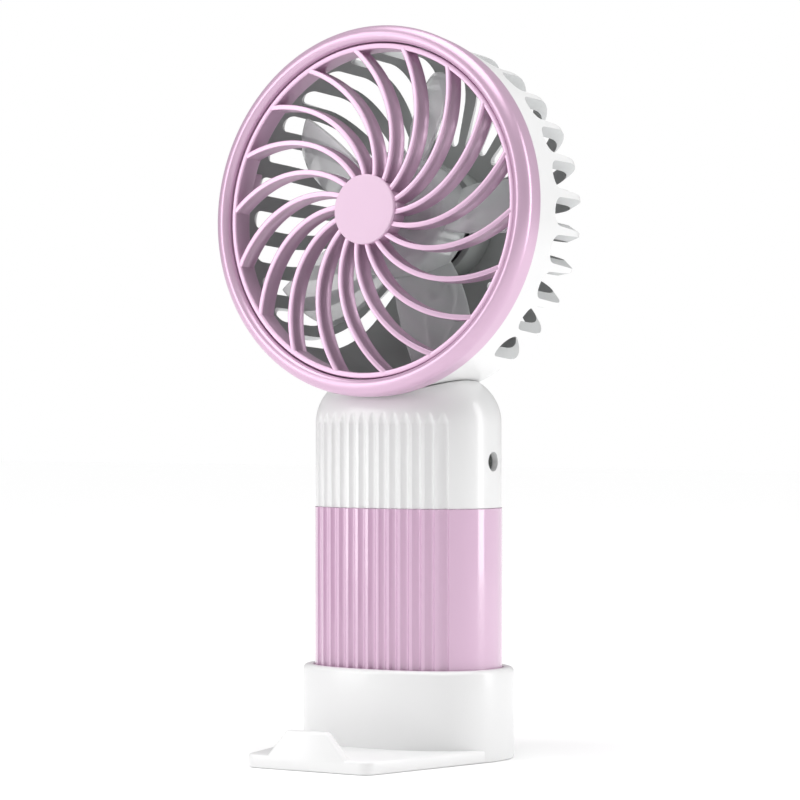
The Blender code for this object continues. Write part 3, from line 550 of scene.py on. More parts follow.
# %% [markdown]
# ## The grille's ring
# The vanes end in a thin ring with a rounded front lip and a skirt that reaches back into the
# shell. Four tabs on the skirt snap in there. Round parts are spun, and a tab is a block that is
# turned to its place.
# %% Ring and clips
RING_BACK, RING_WALL = 11.7, 1.4
CLIP_COUNT, CLIP_BACK, CLIP_HALF, CLIP_TURN = 4, 8.8, 2.9, 78.0
RING_IN = RING_OUT - RING_WALL
lip = [(RING_OUT, RING_FRONT), (RING_OUT, RING_BACK), (RING_IN, RING_BACK), (RING_IN, RING_FRONT)]
ring = round_off(spun(lip, AROUND_HEAD), 0.3, 4)
clips = []
for number in range(CLIP_COUNT):
    low = (RING_IN + 0.1, -CLIP_HALF, CLIP_BACK)
    high = (RING_OUT - 0.4, CLIP_HALF, RING_BACK + 1)
    clip = block(low, high, 0.3)
    turn = Matrix.Rotation(math.radians(CLIP_TURN + 90 * number), 4, "Z")
    bmesh.ops.transform(clip, matrix=turn, verts=clip.verts)
    clips.append(clip)
print("ring:", len(ring.faces), "faces, with", len(clips), "clips")

# %% [markdown]
# ## The grille's hub, and all of it together
# The vanes start at a short drum under the cap, which holds the cap's peg. The real grille is one
# moulding, so it is one piece here too: the vanes run into the ring and into the drum. They could
# be fused with a Boolean, but nothing of the seam would show, and plain overlap keeps the beads.
# %% Hub and grille
AROUND_HUB = 64
HUB_OUT, HUB_FRONT, HUB_BACK, HUB_FLOOR, SOCKET = CAP_OUT - 0.1, 18.9, 14.4, 1.2, 2.7
drum = [(0, HUB_BACK), (HUB_OUT, HUB_BACK), (HUB_OUT, HUB_FRONT), (SOCKET, HUB_FRONT)]
drum += [(SOCKET, HUB_BACK + HUB_FLOOR), (0, HUB_BACK + HUB_FLOOR)]
hub = round_off(spun(drum, AROUND_HUB), 0.25, 2)
grille = join(ring, hub, *clips, *vanes)
make_piece(grille, "grille", [PEARL], "fan", ["vane_grille"], HEAD)

# %% [markdown]
# ## The cap
# A flat matte disc closes the hub. Its rim is rounded just enough to catch a thin line of light,
# and its face is very slightly crowned, which keeps a large flat moulding from looking sunken. A
# peg behind it pushes into the drum.
# %% Hub cap
CAP_FRONT, CAP_ROUND, PEG = 20.2, 0.3, 2.4
CAP_BACK, PEG_BACK = HUB_FRONT + 0.3, HUB_BACK + 1.5
disc = [(0, CAP_FRONT), (CAP_OUT * 0.6, CAP_FRONT - 0.03)]
disc += arc((CAP_OUT - CAP_ROUND, CAP_FRONT - 0.08 - CAP_ROUND), CAP_ROUND, 90, 0, 5)
disc += [(CAP_OUT, CAP_BACK), (PEG, CAP_BACK), (PEG, PEG_BACK), (0, PEG_BACK)]
make_piece(spun(disc, 96), "cap", [MATTE_PINK], "fan", ["hub_cap"], HEAD)

# %% [markdown]
# ## The shell, before its slots
# The white shell behind the grille is a deep dish with a large round corner and an even wall. It is
# spun from an outline that goes up the inside and comes back down the outside.
# %% Dish
SHELL_WALL, SHELL_FRONT, SHELL_BACK, CORNER = 2.5, 12.0, -19.4, 13.8
INSIDE = SHELL_OUT - SHELL_WALL
FLOOR = SHELL_BACK + SHELL_WALL
CORNER_AT = (SHELL_OUT - CORNER, SHELL_BACK + CORNER)
outline = [(0, FLOOR)] + arc(CORNER_AT, CORNER - SHELL_WALL, -90, 0, 10)
outline += [(INSIDE, SHELL_FRONT), (SHELL_OUT - 0.3, SHELL_FRONT), (SHELL_OUT, SHELL_FRONT - 0.3)]
outline += arc(CORNER_AT, CORNER, 0, -90, 14) + [(0, SHELL_BACK)]
dish = spun(outline, 180, closed=False)
print("dish:", len(dish.faces), "faces")

# %% [markdown]
# ## The shape of an air slot
# The slots run from the shell's side over the corner to its back. They flare outwards, so the ribs
# between them come to a thin edge outside. A straight bar could cut them, but then the ribs would
# thicken round the corner. So a slot is described along the wall: how far down it a point is, how
# deep in it, and how wide the slot is there.
# %% Where a slot's edge runs
SLOT_COUNT, SLOT_PITCH, SLOT_NOSE = 24, 11.95, 20.0
SLOT_FRONT_OUT, SLOT_FRONT_IN = 3.0, 7.4
RIB_AT_SIDE, RIB_THIN, THIN_FROM = 2.3, 0.8, 0.4
HALF_AT_NOSE, HALF_AT_SIDE = 1.1, 2.3
FRONT_ROUND, NOSE_ROUND = 0.075, 0.03


def down_the_wall(share, front, depth):
    """Radius and height at a share of the way from a slot's front end to its nose."""
    radius = CORNER - depth
    side, bend = front - CORNER_AT[1], radius * math.pi / 2
    way = share * (side + bend + CORNER_AT[0] - SLOT_NOSE)
    if way < side:
        return SHELL_OUT - depth, front - way
    turned = min((way - side) / radius, math.pi / 2)
    floor_way = max(0.0, way - side - bend)
    along = CORNER_AT[0] + radius * math.cos(turned) - floor_way
    return along, CORNER_AT[1] - radius * math.sin(turned)


def slot_point(share, side, depth, turn):
    """A point on a slot's edge; its width runs evenly from the outside to the inside."""
    deep = depth / SHELL_WALL
    front = SLOT_FRONT_OUT + (SLOT_FRONT_IN - SLOT_FRONT_OUT) * deep
    radius, height = down_the_wall(share, front, depth)
    rib = RIB_AT_SIDE - (RIB_AT_SIDE - RIB_THIN) * min(1.0, share / THIN_FROM)
    outside = (radius * math.radians(SLOT_PITCH) - rib) / 2
    outwards = (radius - SLOT_NOSE) / (INSIDE - SLOT_NOSE)
    inside = HALF_AT_NOSE + (HALF_AT_SIDE - HALF_AT_NOSE) * outwards
    half = outside + (inside - outside) * deep
    for reach in (share / FRONT_ROUND, (1 - share) / NOSE_ROUND):
        half *= math.sqrt(max(0.01, 1 - (1 - min(1.0, reach)) ** 2))
    return turn @ Vector((radius, half * side, height))


nose_at = down_the_wall(1.0, SLOT_FRONT_OUT, 0.0)
print("slots end at radius, height, mm:", [round(value, 1) for value in nose_at])

# %% [markdown]
# ## Cutting the slots
# Each cutter is a grid laid as a strip just inside the wall and extruded to just outside it. Its
# rows crowd together at both ends, where the slot is round. All the strips are taken out of the
# dish in one cut.
# %% Slot cutters
SLOT_ROWS, PAST_INSIDE, PAST_OUTSIDE = 36, 0.4, 0.3


def slot_cutter(angle):
    """A strip laid along the inside of the wall and extruded through it."""
    turn = Matrix.Rotation(math.radians(angle), 3, "Z")
    bm = bmesh.new()
    bmesh.ops.create_grid(bm, x_segments=SLOT_ROWS, y_segments=1, size=1.0)
    laid = set(bm.verts)
    bmesh.ops.extrude_face_region(bm, geom=bm.faces[:])
    for vert in bm.verts:
        depth = SHELL_WALL + PAST_INSIDE if vert in laid else -PAST_OUTSIDE
        share = 0.5 - 0.5 * math.cos(math.pi * (vert.co.x + 1) / 2)
        vert.co = slot_point(share, vert.co.y, depth, turn)
    bmesh.ops.triangulate(bm, faces=bm.faces)
    return bm


slots = []
for number in range(SLOT_COUNT):
    slots.append(slot_cutter(90 + SLOT_PITCH * (number - (SLOT_COUNT - 1) / 2)))
dish = cut(dish, join(*slots))
print("slotted dish:", len(dish.faces), "faces")

# %% [markdown]
# ## Which faces take painted shade
# A mesh can carry several materials, and each face says which of them it takes. Faces on the inside
# of the dish take the darkest painted shade, and faces that look along the ring, which are the
# slots' walls, take a lighter painted shade, between it and the outside white.
# %% Material numbers on the shell
OUTSIDE_FACE, INSIDE_SHADE_FACE, SLOT_SHADE_FACE = 0, 1, 2
NEAR = 0.1
for face in dish.faces:
    centre = face.calc_center_median()
    radius = math.hypot(centre.x, centre.y)
    within = radius < INSIDE + NEAR and FLOOR - NEAR < centre.z < SHELL_FRONT - NEAR
    from_corner = math.hypot(radius - CORNER_AT[0], centre.z - CORNER_AT[1])
    clear_of_corner = radius < CORNER_AT[0] or centre.z > CORNER_AT[1]
    along_ring = Vector((-centre.y, centre.x, 0)).normalized()
    if within and (clear_of_corner or from_corner < CORNER - SHELL_WALL + NEAR):
        face.material_index = INSIDE_SHADE_FACE
    elif abs(face.normal @ along_ring) > 0.5:
        face.material_index = SLOT_SHADE_FACE
kinds = (OUTSIDE_FACE, INSIDE_SHADE_FACE, SLOT_SHADE_FACE)
counts = [sum(face.material_index == kind for face in dish.faces) for kind in kinds]
print("faces outside, inside and in slots:", counts)

# %% [markdown]
# ## What is moulded inside the shell
# A cup in the middle grips the motor, and a screw boss with a countersunk hole stands below it.
# Both show through the grille, and take the same dark painted shade as the floor that they stand
# on. They are spun, and the boss is then moved off the axis.
# %% Motor cup and screw boss
ROOT = FLOOR - 0.5
SEAT, CUP_RIM, CUP_IN, CUP_OUT = -16.5, -9.0, 12.6, 14.2
BOSS_OUT, BOSS_TOP, BOSS_HOLE, BOSS_DROP = 3.6, -12.5, 1.15, 18.0
motor_cup = [(0, SEAT), (CUP_IN, SEAT), (CUP_IN, CUP_RIM), (CUP_OUT, CUP_RIM)]
motor_cup += [(CUP_OUT, ROOT), (0, ROOT)]
motor_cup = round_off(spun(motor_cup, 96, closed=False), 0.3, 2)
boss = [(0, ROOT), (BOSS_OUT, ROOT), (BOSS_OUT, BOSS_TOP), (BOSS_HOLE + 0.45, BOSS_TOP)]
boss += [(BOSS_HOLE, BOSS_TOP - 0.5), (BOSS_HOLE, FLOOR + 0.8), (0, FLOOR + 0.8)]
boss = round_off(spun(boss, 48, closed=False), 0.2, 2)
bmesh.ops.translate(boss, vec=(0, -BOSS_DROP, 0), verts=boss.verts)
for face in (*motor_cup.faces, *boss.faces):
    face.material_index = INSIDE_SHADE_FACE
print("cup and boss:", len(motor_cup.faces), len(boss.faces), "faces")

# %% [markdown]
# ## The neck
# A block at the shell's bottom drops through the handle's crown, where a plate and two screws hold
# it from below. It stands upright, not leaning with the head, so it is drawn in place and then
# turned back into the head's frame before it joins the shell.
# %% Neck and shell
CROWN_IN = 86.3
NECK_A, NECK_B, NECK_TOP = 8.0, 5.0, 91.0
neck = block((-NECK_A, -NECK_B, CROWN_IN), (NECK_A, NECK_B, NECK_TOP), 0.4)
bmesh.ops.transform(neck, matrix=HEAD.inverted(), verts=neck.verts)
shell = join(dish, motor_cup, boss, neck)
whites = [WHITE, SHADE_PAINTED_WHITE, SLOT_SHADE_PAINTED_WHITE]
make_piece(shell, "shell", whites, "fan", ["rear_shell"], HEAD, sharp=30)

# %% [markdown]
# ## The wheel's hub
# The fan wheel has a cup-shaped hub that hides the motor, with a round front edge and a sleeve for
# the shaft inside. It is spun like the other round parts.
# %% Wheel hub
WHEEL_OUT, WHEEL_WALL, WHEEL_ROUND = 15.6, 1.4, 3.2
WHEEL_FRONT, WHEEL_BACK = 10.5, -2.6
SLEEVE_OUT, SLEEVE_IN, SLEEVE_BACK = 3.2, 1.1, -0.9
WHEEL_IN = WHEEL_OUT - WHEEL_WALL
wheel = [(0, WHEEL_FRONT)]
wheel += arc((WHEEL_OUT - WHEEL_ROUND, WHEEL_FRONT - WHEEL_ROUND), WHEEL_ROUND, 90, 0, 8)
wheel += [(WHEEL_OUT, WHEEL_BACK), (WHEEL_IN, WHEEL_BACK), (WHEEL_IN, WHEEL_FRONT - 2.6)]
wheel += [(SLEEVE_OUT, WHEEL_FRONT - 2.0), (SLEEVE_OUT, SLEEVE_BACK), (SLEEVE_IN, SLEEVE_BACK)]
wheel += [(SLEEVE_IN, WHEEL_FRONT - 2.2), (0, WHEEL_FRONT - 2.2)]
wheel = round_off(spun(wheel, 96, closed=False), 0.2, 2)
print("wheel hub:", len(wheel.faces), "faces")

# %% [markdown]
# ## Five blades
# A blade wraps part of the way round the hub and is pitched like a screw, so it pushes air
# forwards as it turns. It starts as a flat grid. Every point goes out along the blade and round the
# hub, and rises along the chord, with a little camber. Solidify then gives it its thickness, after
# the faces have been turned the same way, and the rim is rounded.
# %% Blades
BLADE_COUNT, BLADE_FIRST, BLADE_TIP, BLADE_THICK = 5, 5.0, 36.8, 0.9
HALF_CHORD, CHORD_LOSS, LEAD, SWEEP_BACK = 22, 12, 2, 4
PITCH_RISE, UNTWIST, CAMBER, BLADE_MIDDLE = 5.2, 0.4, 0.7, 2.3
CORNER_TRIM = 0.08


def blade(turn):
    """One blade; out runs from root to tip, and chord from -1 to 1 across it."""
    bm = bmesh.new()
    bmesh.ops.create_grid(bm, x_segments=12, y_segments=12, size=1.0)
    root = WHEEL_OUT - 0.6
    for vert in bm.verts:
        out, chord = (vert.co.x + 1) / 2, vert.co.y
        trimmed = 1 - CORNER_TRIM * max(0.0, chord) ** 2 * out**3
        radius = root + (BLADE_TIP - root) * out * trimmed
        spread = (HALF_CHORD - CHORD_LOSS * out) * chord
        angle = math.radians(turn + spread + LEAD - SWEEP_BACK * out)
        rise = (UNTWIST * out - PITCH_RISE) * chord + CAMBER * (1 - chord**2)
        vert.co = (radius * math.cos(angle), radius * math.sin(angle), BLADE_MIDDLE + rise)
    bmesh.ops.recalc_face_normals(bm, faces=bm.faces)
    bmesh.ops.solidify(bm, geom=bm.faces[:], thickness=BLADE_THICK)
    return round_off(bm, 0.25, 2, limit=50)


blades = [blade(BLADE_FIRST + 360 // BLADE_COUNT * number) for number in range(BLADE_COUNT)]
wheel = join(wheel, *blades)
make_piece(wheel, "wheel", [SMOKY], "impeller", ["impeller"], HEAD, sharp=50)

# %% [markdown]
# ## The handle's plain outline
# The handle's section is a rounded oval that is fuller than an ellipse: the power in its formula is
# 2.4, where an ellipse has 2. One function gives the whole outline, and one gives the depth at a
# point across it.
# %% Plain oval
POWER = 2.4


def oval_depth(x, a, b):
    """How far the oval reaches forwards at x."""
    return b * max(0.0, 1 - abs(x / a) ** POWER) ** (1 / POWER)


def oval(a, b, height, steps=144):
    """The rounded oval at one height."""
    points = []
    for i in range(steps):
        t = math.tau * i / steps
        c, s = math.cos(t), math.sin(t)
        x, y = abs(c) ** (2 / POWER) * a, abs(s) ** (2 / POWER) * b
        points.append((math.copysign(x, c), math.copysign(y, s), height))
    return points


print("half depth at a quarter of the width:", round(oval_depth(12.0, 24.0, 16.0), 2))

# %% [markdown]
# ## The fluted outline
# Thirteen scalloped flutes run down the handle's front. A Boolean with thirteen bars could cut
# them, but it couldn't fade them out. So every flute gets its own row of points in the outline: one
# in the middle of the land before it and nine across it. A share below one makes the flute
# shallower and narrower, and at its end its rims meet in a point.
# %% Outline with flutes
HANDLE_A, HANDLE_B = half_width("upper_housing"), 16.2
FLUTES, FLUTE_PITCH, FLUTE_HALF, FLUTE_DEEP = 13, 2.98, 1.1, 0.9
ACROSS, SIDE_POINTS = 8, 30
flute_offsets = [FLUTE_HALF * k / (ACROSS / 2) for k in range(-ACROSS // 2, ACROSS // 2 + 1)]


def angle_at(x, a):
    """The angle, in degrees, at which the oval's side passes x."""
    return math.degrees(math.acos((abs(x) / a) ** (POWER / 2)))


def fluted(a, b, height, share=1.0, both=False):
    """The oval with flutes along its front, or along both of its faces."""
    front = []
    for i in range(FLUTES):
        middle = (i - (FLUTES - 1) / 2) * FLUTE_PITCH
        for offset in [-FLUTE_PITCH / 2] + flute_offsets:
            sunk = FLUTE_DEEP * max(0.0, share - (offset / FLUTE_HALF) ** 2)
            x = (middle + offset) * a / HANDLE_A
            front.append((x, -oval_depth(x, a, b) + sunk, height))
    right_end, left_end = angle_at(front[-1][0], a), angle_at(front[0][0], a)
    side = []
    for i in range(1, SIDE_POINTS):
        t = math.radians(-right_end + (right_end + left_end) * i / SIDE_POINTS)
        c, s = math.cos(t), math.sin(t)
        side.append((a * c ** (2 / POWER), math.copysign(abs(s) ** (2 / POWER), s) * b, height))
    if both:
        back = [(-x, -y, height) for x, y, _ in front]
    else:
        back = [(-x, oval_depth(x, a, b), height) for x, _, _ in front]
    return front + side + back + [(-x, -y, height) for x, y, _ in side]


print("points in one fluted outline:", len(fluted(HANDLE_A, HANDLE_B, 0)))

# %% [markdown]
# ## The upper housing's outside
# The white housing is pulled up through its outlines: straight to the shoulder, then in along a
# quarter circle. The flutes fade where the shoulder begins, so the outlines are close together
# there, which keeps the pointed tops smooth.
# %% Outer body of the housing
sleeve_low, sleeve_high = size_mm("grip_sleeve")
SPLIT, SHOULDER, SHOULDER_RADIUS = sleeve_high.z + 0.05, 82.0, 12.0
FLUTE_TOP, FADE, FADE_POWER = 84.9, 3.2, 1.15
RIM_DRAW = 0.1
heights = [SPLIT, SPLIT + RIM_DRAW, 70.0]
heights += [FLUTE_TOP - FADE + FADE * i / 10 for i in range(11)]
heights += [SHOULDER + SHOULDER_RADIUS * math.sin(math.radians(90 * i / 16)) for i in range(17)]
sections = []
for height in sorted(heights):
    climb = max(0.0, height - SHOULDER) / SHOULDER_RADIUS
    inset = SHOULDER_RADIUS * (1 - math.sqrt(max(0.0, 1 - climb**2)))
    inset += RIM_DRAW if height == SPLIT else 0.0
    fade = min(1.0, max(0.0, (FLUTE_TOP - height) / FADE)) ** FADE_POWER
    sections.append(fluted(HANDLE_A - inset, HANDLE_B - inset, height, fade))
body = pulled(sections)
print("housing pulled through", len(sections), "outlines")

# %% [markdown]
# ## The room inside it
# The housing is a shell with a wall of two millimetres. Solidify could make that wall, but it would
# carry the flutes through to the inside, where a mould has a plain core. So the room is pulled
# through plain ovals of its own and cut out.
# %% Inner room
WALL, INNER_SHOULDER = 2.0, 6.3
rooms = [oval(HANDLE_A - WALL, HANDLE_B - WALL, SPLIT - 1)]
start = CROWN_IN - INNER_SHOULDER
for i in range(7):
    t = math.radians(90 * i / 6)
    inset = WALL + INNER_SHOULDER * (1 - math.cos(t))
    rooms.append(oval(HANDLE_A - inset, HANDLE_B - inset, start + INNER_SHOULDER * math.sin(t)))
room = pulled(rooms)
print("room ends at", round(rooms[-1][0][2], 1), "mm")

# %% [markdown]
# ## The saddle under the head
# The crown is hollowed to follow the head, with an even gap round it. The cutter is the head's own
# outline, grown by that gap, spun and leant back like the head.
# %% Saddle cutter
GAP, SADDLE_FRONT = 0.3, 22.0
saddle = [(0, SADDLE_FRONT), (TRIM_OUT + GAP, SADDLE_FRONT), (TRIM_OUT + GAP, SHELL_FRONT)]
saddle += [(SHELL_OUT + GAP, SHELL_FRONT - 0.2), (SHELL_OUT + GAP, SHELL_BACK), (0, SHELL_BACK)]
saddle = spun(saddle, 180, closed=False)
bmesh.ops.transform(saddle, matrix=HEAD, verts=saddle.verts)
print("saddle cutter:", len(saddle.faces), "faces")

# %% [markdown]
# ## Holes in the housing
# A strap hole goes right through from side to side. At the back are the holes for the power button,
# for the lamp and for the charging socket, which is a block with fully rounded ends. Their heights
# come from the CAD parts that sit in them. One cut takes everything out.
# %% Cut the housing
STRAP_Y, STRAP_Z, STRAP_BORE = 1.0, 72.6, 2.4
BUTTON_HOLE, LAMP_HOLE, PORT_A, PORT_B = 4.9, 1.7, 4.8, 1.95
BEHIND_IN, BEHIND_OUT = 11, 20


def middle_height(node):
    """The height of a CAD part's middle, in millimetres."""
    low, high = size_mm(node)
    return (low.z + high.z) / 2


BUTTON_Z, LAMP_Z, PORT_Z = map(middle_height, ("power_button", "indicator_lens", "charging_port"))
port_hole = block((-PORT_A, BEHIND_IN, PORT_Z - PORT_B), (PORT_A, BEHIND_OUT, PORT_Z + PORT_B))
round_off(port_hole, 1.9, 6, keep=lambda edge: abs(edge.verts[0].co.y - edge.verts[1].co.y) > 5)
body = cut(
    body,
    room,
    saddle,
    block((-NECK_A - GAP, -NECK_B - GAP, 80), (NECK_A + GAP, NECK_B + GAP, 95)),
    bar(STRAP_BORE, (-30, STRAP_Y, STRAP_Z), (30, STRAP_Y, STRAP_Z)),
    bar(BUTTON_HOLE, (0, BEHIND_IN, BUTTON_Z), (0, BEHIND_OUT, BUTTON_Z), 64),
    bar(LAMP_HOLE, (0, BEHIND_IN, LAMP_Z), (0, BEHIND_OUT, LAMP_Z)),
    port_hole,
)
print("cut housing:", len(body.faces), "faces")

# %% [markdown]
# ## The strap tube
# A thin tube joins the two strap holes, so that a strap can't catch on the parts inside. It is spun
# about Z and laid along X, and it takes the dark painted shade, so that the hole reads as deep.
# %% Tube and housing
TUBE_HALF, TUBE_OUT = 22.3, STRAP_BORE + 1.2
tube = [(STRAP_BORE, -TUBE_HALF), (TUBE_OUT, -TUBE_HALF), (TUBE_OUT, TUBE_HALF)]
tube = spun(tube + [(STRAP_BORE, TUBE_HALF)], 48)
for face in tube.faces:
    face.material_index = INSIDE_SHADE_FACE
along_x = Matrix.Translation((0, STRAP_Y, STRAP_Z)) @ Matrix.Rotation(math.pi / 2, 4, "Y")
bmesh.ops.transform(tube, matrix=along_x, verts=tube.verts)
housing = join(body, tube)
whites = [WHITE, SHADE_PAINTED_WHITE]
make_piece(housing, "housing", whites, "fan", ["upper_housing"], sharp=36)

# %% [markdown]
# ## The glossy sleeve
# The sleeve is a straight tube, so two outlines would do. One more at each end draws its rims in,
# as a moulded rim is. It stands slightly proud of the housing, which draws the line between them,
# and it is fluted at the front and at the back. Its plain bore is cut out.
# %% Sleeve
SLEEVE_A, SLEEVE_B = half_width("grip_sleeve"), HANDLE_B + 0.2
BORE_X, BORE_Y = 22.0, 14.15
ends = [(sleeve_low.z, 0.2), (sleeve_low.z + 0.2, 0.0)]
ends += [(sleeve_high.z - RIM_DRAW, 0.0), (sleeve_high.z, RIM_DRAW)]
outlines = []
for height, inset in ends:
    outlines.append(fluted(SLEEVE_A - inset, SLEEVE_B - inset, height, both=True))
bore = pulled([oval(BORE_X, BORE_Y, height) for height in (sleeve_low.z - 1, sleeve_high.z + 1)])
sleeve = cut(pulled(outlines), bore)
make_piece(sleeve, "sleeve", [GLOSS_PINK], "fan", ["grip_sleeve"], sharp=36)

# %% [markdown]
# ## The stand's cup
# The cup goes up its outer wall, over a rounded rim and down its inner wall in one pull, and its
# last outline is the inner floor. That gives an even wall, a soft rim and a small round at the foot
# without a bevel.
# %% Cup
CUP_A, CUP_B, CUP_TOP, RIM = half_width("stand"), 19.1, 22.3, 1.15
BORE_A, BORE_B, CUP_FLOOR = 24.6, 16.75, 3.2
outer = [(0.0, 0.5), (0.15, 0.15), (0.5, 0.0), (CUP_TOP - RIM, 0.0)]
outer += [(CUP_TOP - RIM + rise, RIM - reach) for reach, rise in arc((0, 0), RIM, 15, 90, 6)]
inner = [(CUP_TOP, -0.4), (CUP_TOP - 0.12, -0.1), (CUP_TOP - 0.4, 0.0)]
inner += [(CUP_FLOOR + 0.3, 0.0), (CUP_FLOOR, 0.3)]
cup = [oval(CUP_A - inset, CUP_B - inset, height) for height, inset in outer]
cup += [oval(BORE_A - inset, BORE_B - inset, height) for height, inset in inner]
stand = pulled(cup)
print("cup:", len(stand.faces), "faces")

# %% [markdown]
# ## The tray and its lip
# A phone's edge stands on the tray, a slab with two round front corners, and leans on the lip, a
# slab on edge that narrows upwards. Both are pulled from flat outlines, and the bevel operator
# rounds their edges. The lip's foot stays sharp, because it runs into the tray, and both run into
# the cup, as they do in the moulding.
# %% Tray, lip and stand
stand_low, _ = size_mm("stand")
TRAY_FRONT, TRAY_HALF, TRAY_THICK, TRAY_CORNER = stand_low.y, 18.0, 3.25, 3.5
corner = (TRAY_HALF - TRAY_CORNER, TRAY_FRONT + TRAY_CORNER)
right = arc(corner, TRAY_CORNER, -90, -12, 10) + [(CUP_A - 0.3, -4.0), (20, 6)]
outline = right + [(-x, y) for x, y in reversed(right)]
tray = pulled([[(x, y, height) for x, y in outline] for height in (0.0, TRAY_THICK)])
level_edge = lambda edge: abs(edge.verts[0].co.z - edge.verts[1].co.z) < 0.1
round_off(tray, 0.55, 4, limit=60, keep=level_edge)
LIP_LOW, LIP_HIGH, LIP_TOP, LIP_THICK = 11.6, 5.7, 9.5, 2.5
FOOT = TRAY_THICK - 0.5
lip = [(LIP_LOW, FOOT), (LIP_HIGH, LIP_TOP), (-LIP_HIGH, LIP_TOP), (-LIP_LOW, FOOT)]
lip = pulled([[(x, y, z) for x, z in lip] for y in (TRAY_FRONT, TRAY_FRONT + LIP_THICK)])
round_off(lip, 0.7, 4, keep=lambda edge: max(vert.co.z for vert in edge.verts) > FOOT + 1)
stand = join(stand, tray, lip)
make_piece(stand, "stand_moulding", [WHITE], "stand", ["stand"], sharp=40)

# %% [markdown]
# ## The button on the back
# The power button is a round key with a slightly sunken face for the thumb, and a flange inside the
# housing that keeps it from falling out. It is spun about its own axis, which is turned to point
# out of the handle's back, and rides on the body that the press joint moves.
# %% Power button
KEY, KEY_ROUND, FLANGE, FLANGE_IN, FLANGE_OUT = 4.6, 0.9, 0.7, 12.9, 13.5
KEY_TOP = size_mm("power_button")[1].y
key = [(0, KEY_TOP - 0.35), (2.6, KEY_TOP - 0.2)]
key += arc((KEY - KEY_ROUND, KEY_TOP - KEY_ROUND), KEY_ROUND, 100, 0, 8)
key += [(KEY, FLANGE_OUT), (KEY + FLANGE, FLANGE_OUT), (KEY + FLANGE, FLANGE_IN), (0, FLANGE_IN)]
key = spun(key, 64, closed=False)
out_of_back = Matrix.Translation((0, 0, BUTTON_Z)) @ Matrix.Rotation(-math.pi / 2, 4, "X")
carrier, stands_for = "power_button", ["power_button"]
make_piece(key, "button", [MATTE_PINK], carrier, stands_for, out_of_back)

# %% [markdown]
# ## The parts that stay as the CAD model has them
# The cell, the board, the motor and the screws keep their CAD shape, which is right as it is. The
# same holds for the lamp's lens and the charging socket at the back. A CAD part's mesh isn't
# touched: only its material slots are filled.
# %% Finishes on the CAD nodes
FINISHES = {
    STEEL: ["motor_can", "motor_shaft", "motor_armature", "neck_retainer", "charging_port"],
    BLACK: ["motor_end_cap", "driver_chip", "tact_switch", "switch_plunger", "cell_lead_black"],
    BRONZE: ["front_bush", "rear_bush"],
    FERRITE: ["motor_magnet"],
    WHITE: ["bottom_cap", "chassis", "motor_lead_a", "motor_lead_b"],
    MASK_GREEN: ["circuit_board"],
    FOIL: ["battery_cell"],
    RED: ["cell_lead_red"],
    LAMP: ["indicator_led"],
    SMOKY: ["indicator_lens"],
}
FINISHES[STEEL] += [name for name in frame["nodes"] if "_screw_" in name]
for finish, names in FINISHES.items():
    for name in names:
        mesh = frame["nodes"][name].data
        mesh.materials.clear()
        mesh.materials.append(finish)
print("CAD nodes finished:", sum(len(names) for names in FINISHES.values()))

# %% [markdown]
# ## The floor
# The fan stands on a plain pale floor. It is so large that its far edge is lost against the white
# room, and matte, so that it takes only a faint shadow.
# %% Floor
bm = bmesh.new()
bmesh.ops.create_grid(bm, x_segments=1, y_segments=1, size=3.0)
floor_mesh = bpy.data.meshes.new("floor")
bm.to_mesh(floor_mesh)
bm.free()
PALE = moulded("pale_floor", (0.98, 0.98, 0.98), (0.96, 0.96, 0.96), 0.6, bump=0.0)
floor_mesh.materials.append(PALE)
floor = bpy.data.objects.new("floor", floor_mesh)
bpy.context.scene.collection.objects.link(floor)
print("floor, m:", [round(side, 1) for side in floor.dimensions[:2]])

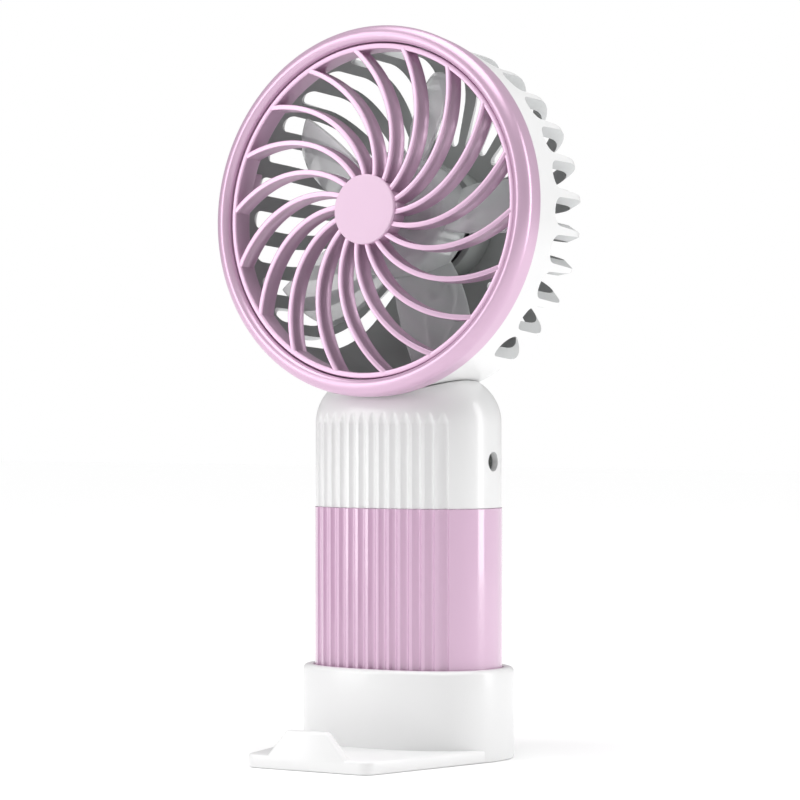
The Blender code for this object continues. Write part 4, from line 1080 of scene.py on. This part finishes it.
# %% [markdown]
# ## An even white room
# The room behind the fan is white, but a white room that lit the fan fully would wash its shapes
# out. A Light Path node tells the two apart: the camera sees the full white, and the fan gets about
# a third of it.
# %% Room
SEEN, SHED = 1.0, 0.36
world = bpy.data.worlds.new("white_room")
world.use_nodes = True
tree = world.node_tree
path = tree.nodes.new("ShaderNodeLightPath")
level = tree.nodes.new("ShaderNodeMix")
level.inputs["A"].default_value = SHED
level.inputs["B"].default_value = SEEN
tree.links.new(path.outputs["Is Camera Ray"], level.inputs["Factor"])
tree.nodes["Background"].inputs["Color"].default_value = (1, 1, 1, 1)
tree.links.new(level.outputs["Result"], tree.nodes["Background"].inputs["Strength"])
bpy.context.scene.world = world
bpy.context.scene.view_settings.view_transform = "Standard"
print("room sheds", SHED, "of the light that it shows")

# %% [markdown]
# ## The lights
# Two tall soft lights, one in front at the left and one behind at the right, draw the long
# reflections that show a glossy round body, and leave a grey band between them. A wide light from
# above whitens the floor up to the horizon, and hardly touches upright surfaces.
# %% Lights


def add_light(name, kind, place, strength, **settings):
    """A light that looks at the middle of the fan."""
    light = bpy.data.lights.new(name, kind)
    light.energy = strength
    for setting, value in settings.items():
        setattr(light, setting, value)
    lamp = bpy.data.objects.new(name, light)
    lamp.location = place
    aim = Vector((0, 0, 0.09)) - Vector(place)
    lamp.rotation_euler = aim.to_track_quat("-Z", "Y").to_euler()
    bpy.context.scene.collection.objects.link(lamp)


tall = {"shape": "RECTANGLE", "size_y": 0.8}
add_light("left_light", "AREA", (-0.55, -0.62, 0.30), 2.7, size=0.3, **tall)
add_light("right_light", "AREA", (0.72, 0.42, 0.25), 3.2, size=0.25, **tall)
add_light("from_above", "SUN", (0.05, -0.2, 1.5), 2.4, angle=math.radians(60))
print("lights:", len(bpy.data.lights))

# %% [markdown]
# ## The camera
# The camera stands level, a good way off at the front right, with a long lens. That keeps the
# head's circle a clean ellipse and the handle's sides parallel.
# %% Camera
AZIMUTH, DISTANCE, EYE, ASIDE, LENS = math.radians(32.7), 0.818, 0.0876, -0.002, 149.0
right = Vector((math.cos(AZIMUTH), math.sin(AZIMUTH), 0))
back = Vector((math.sin(AZIMUTH), -math.cos(AZIMUTH), 0))
camera = bpy.data.objects.new("camera", bpy.data.cameras.new("camera"))
camera.location = back * DISTANCE + right * ASIDE + Vector((0, 0, EYE))
camera.rotation_euler = (math.pi / 2, 0, AZIMUTH)
camera.data.lens = LENS
camera.data.sensor_width = 36.0
bpy.context.scene.collection.objects.link(camera)
bpy.context.scene.camera = camera
print("camera at", [round(value, 3) for value in camera.location])
